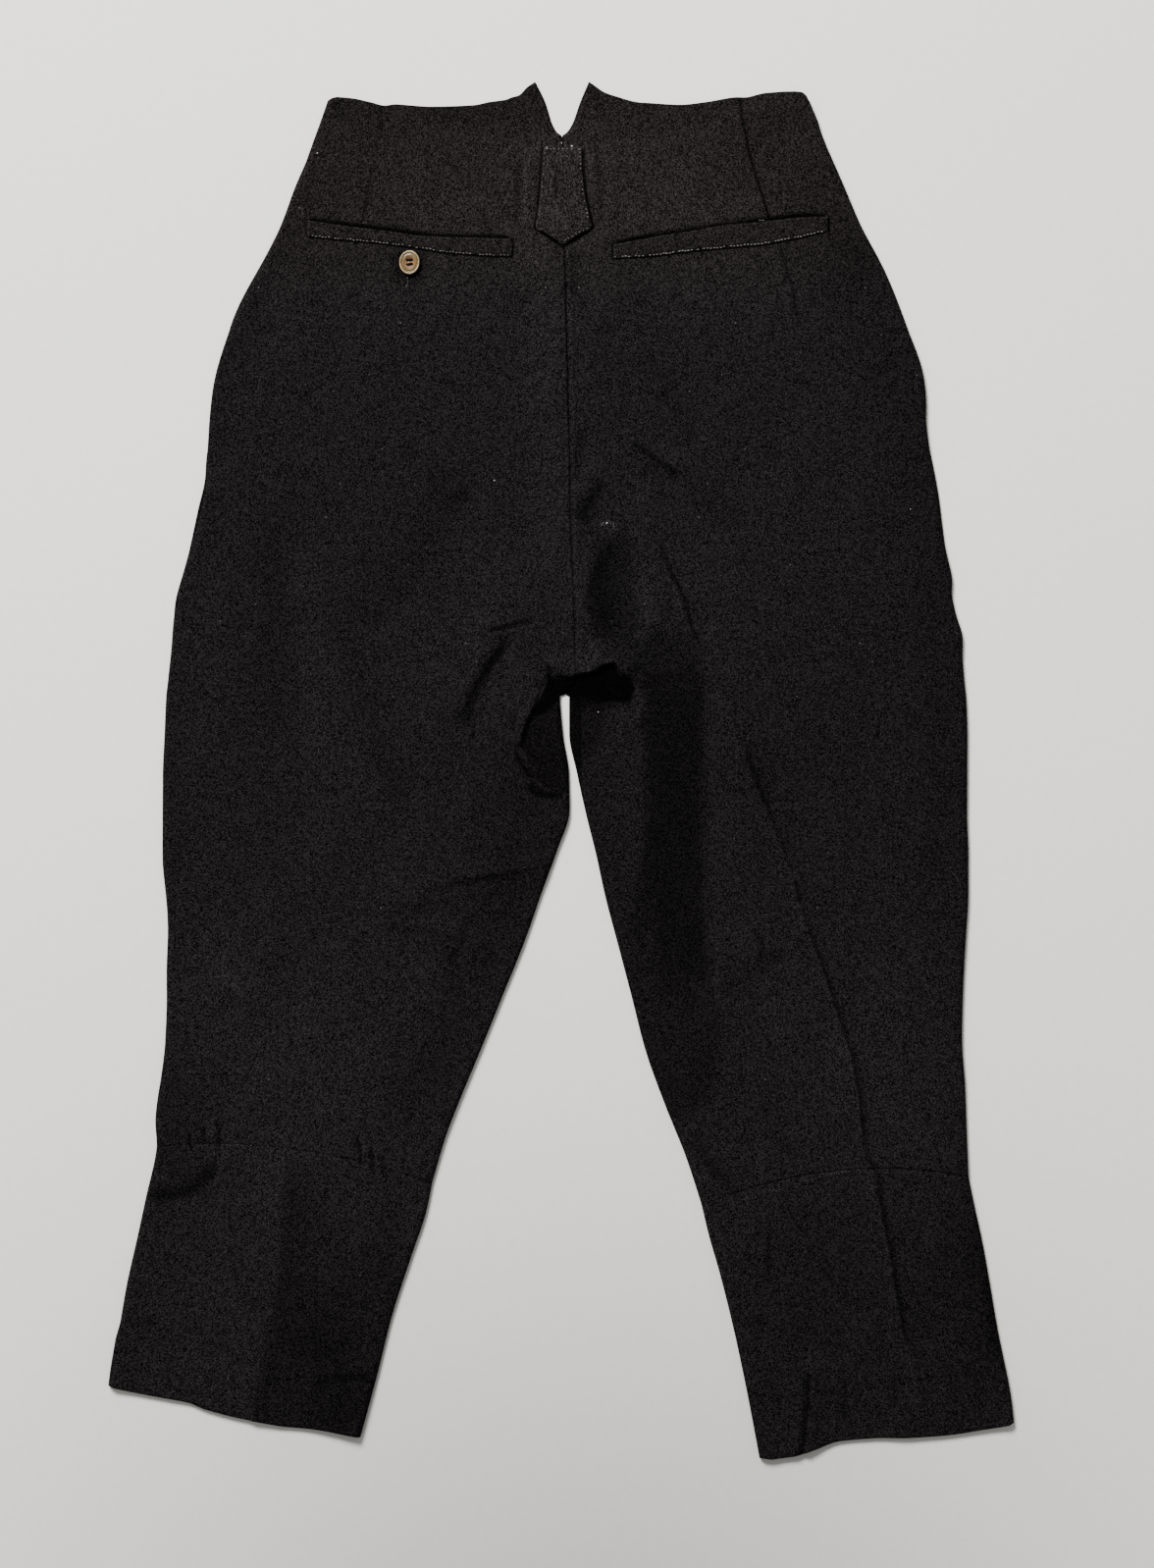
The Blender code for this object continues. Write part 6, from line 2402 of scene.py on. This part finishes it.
@dataclass
class Breeches:
    """The garment's cloth: panels, lower legs, underlap, tab and welts, each laid as a sheet."""

    # Painted shade along the pocket mouths, below the welts, at the welts' ends, along the tab's edges and in
    # the tab's crease
    MOUTH = {"rise": -0.0014, "left": 0.0013, "right": 0.0011, "tone": -0.95, "fade": 0.02}
    FOOT = {"rise": -0.0004, "left": 0.0009, "right": 0.0009, "tone": -0.35, "fade": 0.02}
    WELT_END = {"rise": -0.0008, "left": 0.001, "right": 0.001, "fade": 0.05}
    TAB_STEP = {"rise": -0.0009, "left": 0.0012, "right": 0.0012, "fade": 0.02}
    MOUTH_AWAY, FOOT_AWAY = 0.001, 0.0006
    END_AWAY, END_BEYOND = 0.0007, 0.001
    END_TONE, LEFT_END_TONE = -0.9, -0.3
    TAB_LEFT_AWAY, TAB_RIGHT_AWAY, TAB_RIGHT_DROP = 0.0008, 0.001, 0.0004
    TAB_LEFT_TONE, TAB_RIGHT_TONE = -0.8, -0.93
    TAB_CREASE = Fold(
        -0.0003, 0.0008, 0.0008, ((-0.003, 0.44), (-0.0042, 0.427), (-0.0034, 0.413)), -0.65,
    )
    TAB_TONE, WELT_TONE = 1.9, 1.35
    UNDERLAP_GRID = (12, 40)
    UNDERLAP_WALL = 0.001
    UNDERLAP_TONE = 1.2
    COARSE = {
        "columns": 60, "row_pitch": 0.005, "crotch_top": 0.06, "crotch_foot": 0.04, "finest": 0.002,
    }

    drape: Drape
    panels: dict[str, bpy.types.Object] = field(default_factory=dict)

    @classmethod
    def shadow_folds(cls) -> list[Fold]:
        """Slits of the pocket mouths, and the steps round the welts and the tab, with painted shade along
        them.
        """
        folds = []
        for welt in (LEFT_WELT, RIGHT_WELT):
            mouth = tuple((section.x, section.upper_y + cls.MOUTH_AWAY) for section in welt)
            folds.append(Fold(path=mouth, **cls.MOUTH))
            foot = tuple((section.x, section.lower_y - cls.FOOT_AWAY) for section in welt)
            folds.append(Fold(path=foot, **cls.FOOT))
            for section, away in ((welt[0], -cls.END_AWAY), (welt[-1], cls.END_AWAY)):
                x = section.x + away
                end = ((x, section.upper_y + cls.END_BEYOND), (x, section.lower_y - cls.END_BEYOND))
                tone = cls.LEFT_END_TONE if section is LEFT_WELT[0] else cls.END_TONE
                folds.append(Fold(path=end, tone=tone, **cls.WELT_END))
        left = tuple((section.left_x - cls.TAB_LEFT_AWAY, section.y) for section in TAB)
        right = tuple(
            (section.right_x + cls.TAB_RIGHT_AWAY, section.y - cls.TAB_RIGHT_DROP) for section in TAB
        )
        for edge, tone in ((left, cls.TAB_LEFT_TONE), (right, cls.TAB_RIGHT_TONE)):
            folds.append(Fold(path=edge, tone=tone, **cls.TAB_STEP))
        return folds

    def cut(self) -> list[ClothPanel]:
        """The pieces of cloth in the order in which they are laid."""
        waist, knee, hem = Edge.WAIST, Edge.KNEE, Edge.HEM
        rows = (
            ("front_left_panel", FRONT_LEFT, Side.LEFT, Layer.FRONT, waist, knee),
            ("front_right_panel", FRONT_RIGHT, Side.RIGHT, Layer.FRONT, waist, knee),
            ("front_left_lower_leg", LOWER_LEFT, Side.LEFT, Layer.FRONT, knee, hem),
            ("front_right_lower_leg", LOWER_RIGHT, Side.RIGHT, Layer.FRONT, knee, hem),
            ("back_left_panel", BACK_LEFT, Side.LEFT, Layer.BACK, waist, knee),
            ("back_right_panel", BACK_RIGHT, Side.RIGHT, Layer.BACK, waist, knee),
            ("back_left_lower_leg", LOWER_LEFT, Side.LEFT, Layer.BACK, knee, hem),
            ("back_right_lower_leg", LOWER_RIGHT, Side.RIGHT, Layer.BACK, knee, hem),
        )
        return [
            ClothPanel(*row, self.drape, **(self.COARSE if row[3] is Layer.FRONT else {}))
            for row in rows
        ]

    def lay_panels(self, finish: bpy.types.Material) -> None:
        """Makes the panels.

        Args:
            finish: Their cloth.
        """
        for piece in self.cut():
            made = piece.build(finish)
            self.panels[piece.name] = made

    def lay_underlap(self, finish: bpy.types.Material) -> None:
        """Makes the strip behind the centre-front opening.

        Args:
            finish: Its cloth.
        """
        low = CLOTH + SEAM_GAP
        width, length = 2 * UNDERLAP_HALF_WIDTH, UNDERLAP_TOP - UNDERLAP_FOOT
        mesh = bmesh.new()
        columns, rows = self.UNDERLAP_GRID
        bmesh.ops.create_grid(mesh, x_segments=columns, y_segments=rows, size=0.5)
        bmesh.ops.scale(mesh, verts=mesh.verts, vec=(width, length, 1.0))
        middle = (UNDERLAP_TOP + UNDERLAP_FOOT) / 2
        bmesh.ops.translate(mesh, verts=mesh.verts, vec=(0.0, middle, low + self.UNDERLAP_WALL))
        places = np.array([vert.co[:2] for vert in mesh.verts])
        tone = np.full(len(places), self.UNDERLAP_TONE)
        made = ClothObject.make("fly_underlap", mesh, finish, *places.T, tone)
        ClothObject.wall(made, self.UNDERLAP_WALL)
        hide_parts("fly_underlap")

    @classmethod
    def trims(cls) -> list[Trim]:
        """The tab and the two welts."""
        tab = np.array([(each.left_x, each.y, each.right_x, each.y) for each in TAB])
        made = [Trim("centre_back_tab", tab, base_tone=cls.TAB_TONE, crease=cls.TAB_CREASE)]
        for name, welt in (("pocket_welt_left", LEFT_WELT), ("pocket_welt_right", RIGHT_WELT)):
            rails = np.array([(each.x, each.upper_y, each.x, each.lower_y) for each in welt])
            made.append(Trim(name, rails, base_tone=cls.WELT_TONE))
        return made

    def lay_trims(self, finish: bpy.types.Material) -> list[bpy.types.Object]:
        """Makes the tab and the welts on the backs.

        Args:
            finish: Their cloth.

        Returns:
            Their objects.
        """
        backs = ["back_left_panel", "back_right_panel"]
        bed = Bed([self.panels[name] for name in backs])
        made = []
        for trim in self.trims():
            made.append(trim.build(bed, finish))
            LOG.info("%s: %d points", trim.name, len(made[-1].data.vertices))
        return made


def stitch_runs() -> list[StitchRun]:
    """Every line of stitches that shows, with the bar tacks and the ends of the button's thread.

    Returns:
        The lines.
    """
    pale, grey, dark = ThreadKind.PALE, ThreadKind.GREY, ThreadKind.DARK
    tab_inset, tab_point, foot_inset, mouth_inset = 0.0014, (0.0012, 0.3832), 0.0009, 0.0012
    tab_sides = TAB[:TAB_SIDE_ROWS]
    tab_left = tuple((each.left_x + tab_inset, each.y) for each in tab_sides) + (tab_point,)
    tab_right = tuple((each.right_x - tab_inset, each.y) for each in tab_sides) + (tab_point,)
    left_foot, right_foot = (
        tuple((each.x, each.lower_y + foot_inset) for each in welt) for welt in (LEFT_WELT, RIGHT_WELT)
    )
    left_mouth, right_mouth = (
        tuple((each.x, each.upper_y - mouth_inset) for each in welt) for welt in (LEFT_WELT, RIGHT_WELT)
    )
    return [
        StitchRun("stitches_tab_left", tab_left, grey, 0.003, 0.0014, 0.0007, 0.35, 0.0003, 11),
        StitchRun("stitches_tab_right", tab_right, pale, 0.003, 0.0013, 0.0008, 0.2, 0.0003, 12),
        StitchRun(
            "stitches_tab_top", ((-0.0115, 0.4508), (0.0143, 0.4506)),
            pale, 0.0028, 0.0014, 0.0008, 0.2, seed=13,
        ),
        StitchRun("stitches_welt_left", left_foot, pale, 0.0024, 0.0018, 0.0007, 0.22, 0.0004, 14),
        StitchRun("stitches_welt_right", right_foot, pale, 0.0024, 0.002, 0.0009, 0.14, 0.0004, 15),
        StitchRun("stitches_mouth_left", left_mouth, dark, missing=0.4, seed=16),
        StitchRun("stitches_mouth_right", right_mouth, dark, missing=0.4, seed=17),
        StitchRun(
            "bartack_left", ((-0.145, 0.397), (-0.141, 0.3973)),
            grey, 0.0007, 0.0008, 0.0006, 0.0, seed=18,
        ),
        StitchRun(
            "bartack_right", ((0.1435, 0.3992), (0.148, 0.399)),
            pale, 0.0007, 0.0008, 0.0006, 0.0, seed=19,
        ),
        StitchRun(
            "stitches_centre_seam",
            ((0.0045, 0.378), (0.0065, 0.324), (0.0085, 0.285), (0.0105, 0.16), (0.014, 0.076)),
            grey, 0.0042, 0.001, 0.0004, 0.5, 0.0004, 20,
        ),
        StitchRun(
            "button_thread_ends", ((-0.112, 0.3575), (-0.1112, 0.354), (-0.113, 0.35)),
            pale, 0.0019, 0.0014, 0.0008, 0.0, 0.0003, 23,
        ),
        StitchRun(
            "stitches_knee_right",
            ((0.1285, -0.3135), (0.1685, -0.3035), (0.1935, -0.295), (0.226, -0.289)),
            grey, 0.003, 0.0012, 0.0005, 0.55, 0.0009, 21,
        ),
        StitchRun(
            "stitches_knee_left",
            ((-0.242, -0.2725), (-0.22, -0.2737), (-0.196, -0.2757)),
            grey, 0.003, 0.0012, 0.0005, 0.5, 0.0006, 22,
        ),
    ]


@dataclass
class Studio:
    """Pale floor, soft light from the upper left and the camera straight above."""

    middle_x: float = 0.0114
    middle_y: float = -0.0107
    view_height: float = 1.141
    lens: float = 85.0
    sensor: float = 36.0
    floor_size: float = 8.0
    floor_drop: float = 0.0002
    key_place: tuple[float, float, float] = (-1.5, 2.8, 3.2)
    key_size: float = 1.5
    key_power: float = 460.0
    fill_strength: float = 0.4
    fill_colour: tuple[float, float, float] = (1.0, 0.995, 0.985)

    def floor(self) -> None:
        """Makes the floor."""
        mesh = bmesh.new()
        bmesh.ops.create_grid(mesh, x_segments=2, y_segments=2, size=self.floor_size / 2)
        bmesh.ops.translate(mesh, verts=mesh.verts, vec=(0.0, 0.0, -self.floor_drop))
        data = bpy.data.meshes.new("floor")
        mesh.to_mesh(data)
        mesh.free()
        data.materials.append(FloorFinish().build())
        made = bpy.data.objects.new("floor", data)
        bpy.context.scene.collection.objects.link(made)

    def lights(self) -> None:
        """Makes the key light and the soft surroundings."""
        lamp = bpy.data.lights.new("key", "AREA")
        lamp.shape = "SQUARE"
        lamp.size = self.key_size
        lamp.energy = self.key_power
        key = bpy.data.objects.new("key", lamp)
        key.location = self.key_place
        aim = Vector((self.middle_x, self.middle_y, 0.0)) - Vector(self.key_place)
        key.rotation_euler = aim.to_track_quat("-Z", "Y").to_euler()
        bpy.context.scene.collection.objects.link(key)
        world = bpy.data.worlds.new("soft_surroundings")
        world.use_nodes = True
        background = world.node_tree.nodes["Background"]
        background.inputs["Color"].default_value = (*self.fill_colour, 1.0)
        background.inputs["Strength"].default_value = self.fill_strength
        bpy.context.scene.world = world

    def camera(self) -> None:
        """Makes the camera, straight above the garment."""
        data = bpy.data.cameras.new("overhead")
        data.lens = self.lens
        data.sensor_width = self.sensor
        made = bpy.data.objects.new("overhead", data)
        made.location = (self.middle_x, self.middle_y, self.view_height * self.lens / self.sensor)
        bpy.context.scene.collection.objects.link(made)
        bpy.context.scene.camera = made


def main() -> None:
    """Builds the studio and the garment, and logs how many points some pieces have."""
    logging.basicConfig(level=logging.INFO, format="%(message)s")
    studio = Studio()
    studio.camera()
    studio.lights()
    studio.floor()
    groups = EffectGroups()
    cloth = ClothFinish("black_cotton").build(groups)
    trim_cloth = ClothFinish("black_cotton_trim", streak_contrast=5.2).build(groups)
    thread = ThreadFinish().build(groups)
    horn = HornFinish().build(groups)

    folds = [
        fold
        for table in (MAIN_FOLDS, CROTCH_FOLDS, LEFT_FOLDS, RIGHT_FOLDS, SHIN_FOLDS, WAIST_FOLDS)
        for fold in table.values()
    ]
    folds += Breeches.shadow_folds()
    fold_map = FoldMap(folds, list(PATCHES.values()), list(CROTCH_AREAS.values()))
    front_map = FoldMap(list(FRONT_FOLDS.values()), [], [SLIT_SHADE])
    breeches = Breeches(Drape(fold_map, front_map, FRONT_LEFT[0], FRONT_RIGHT[0]))
    breeches.lay_panels(cloth)
    breeches.lay_underlap(trim_cloth)
    trims = breeches.lay_trims(trim_cloth)

    uppers = [piece for name, piece in breeches.panels.items() if name.startswith("back")]
    bed = Bed(uppers + trims)
    stitcher = Stitcher(bed, thread)
    for run in stitch_runs():
        made = stitcher.lay(run)
        LOG.info("%s: %d points", made.name, len(made.data.vertices))
    lint_fibre = ThreadFinish("lint_fibre", colour=(0.62, 0.59, 0.56)).build(groups)
    for made in HornButton().build(bed, horn, thread) + [Lint().build(bed, lint_fibre)]:
        LOG.info("%s: %d points", made.name, len(made.data.vertices))


if __name__ == "__main__":
    main()
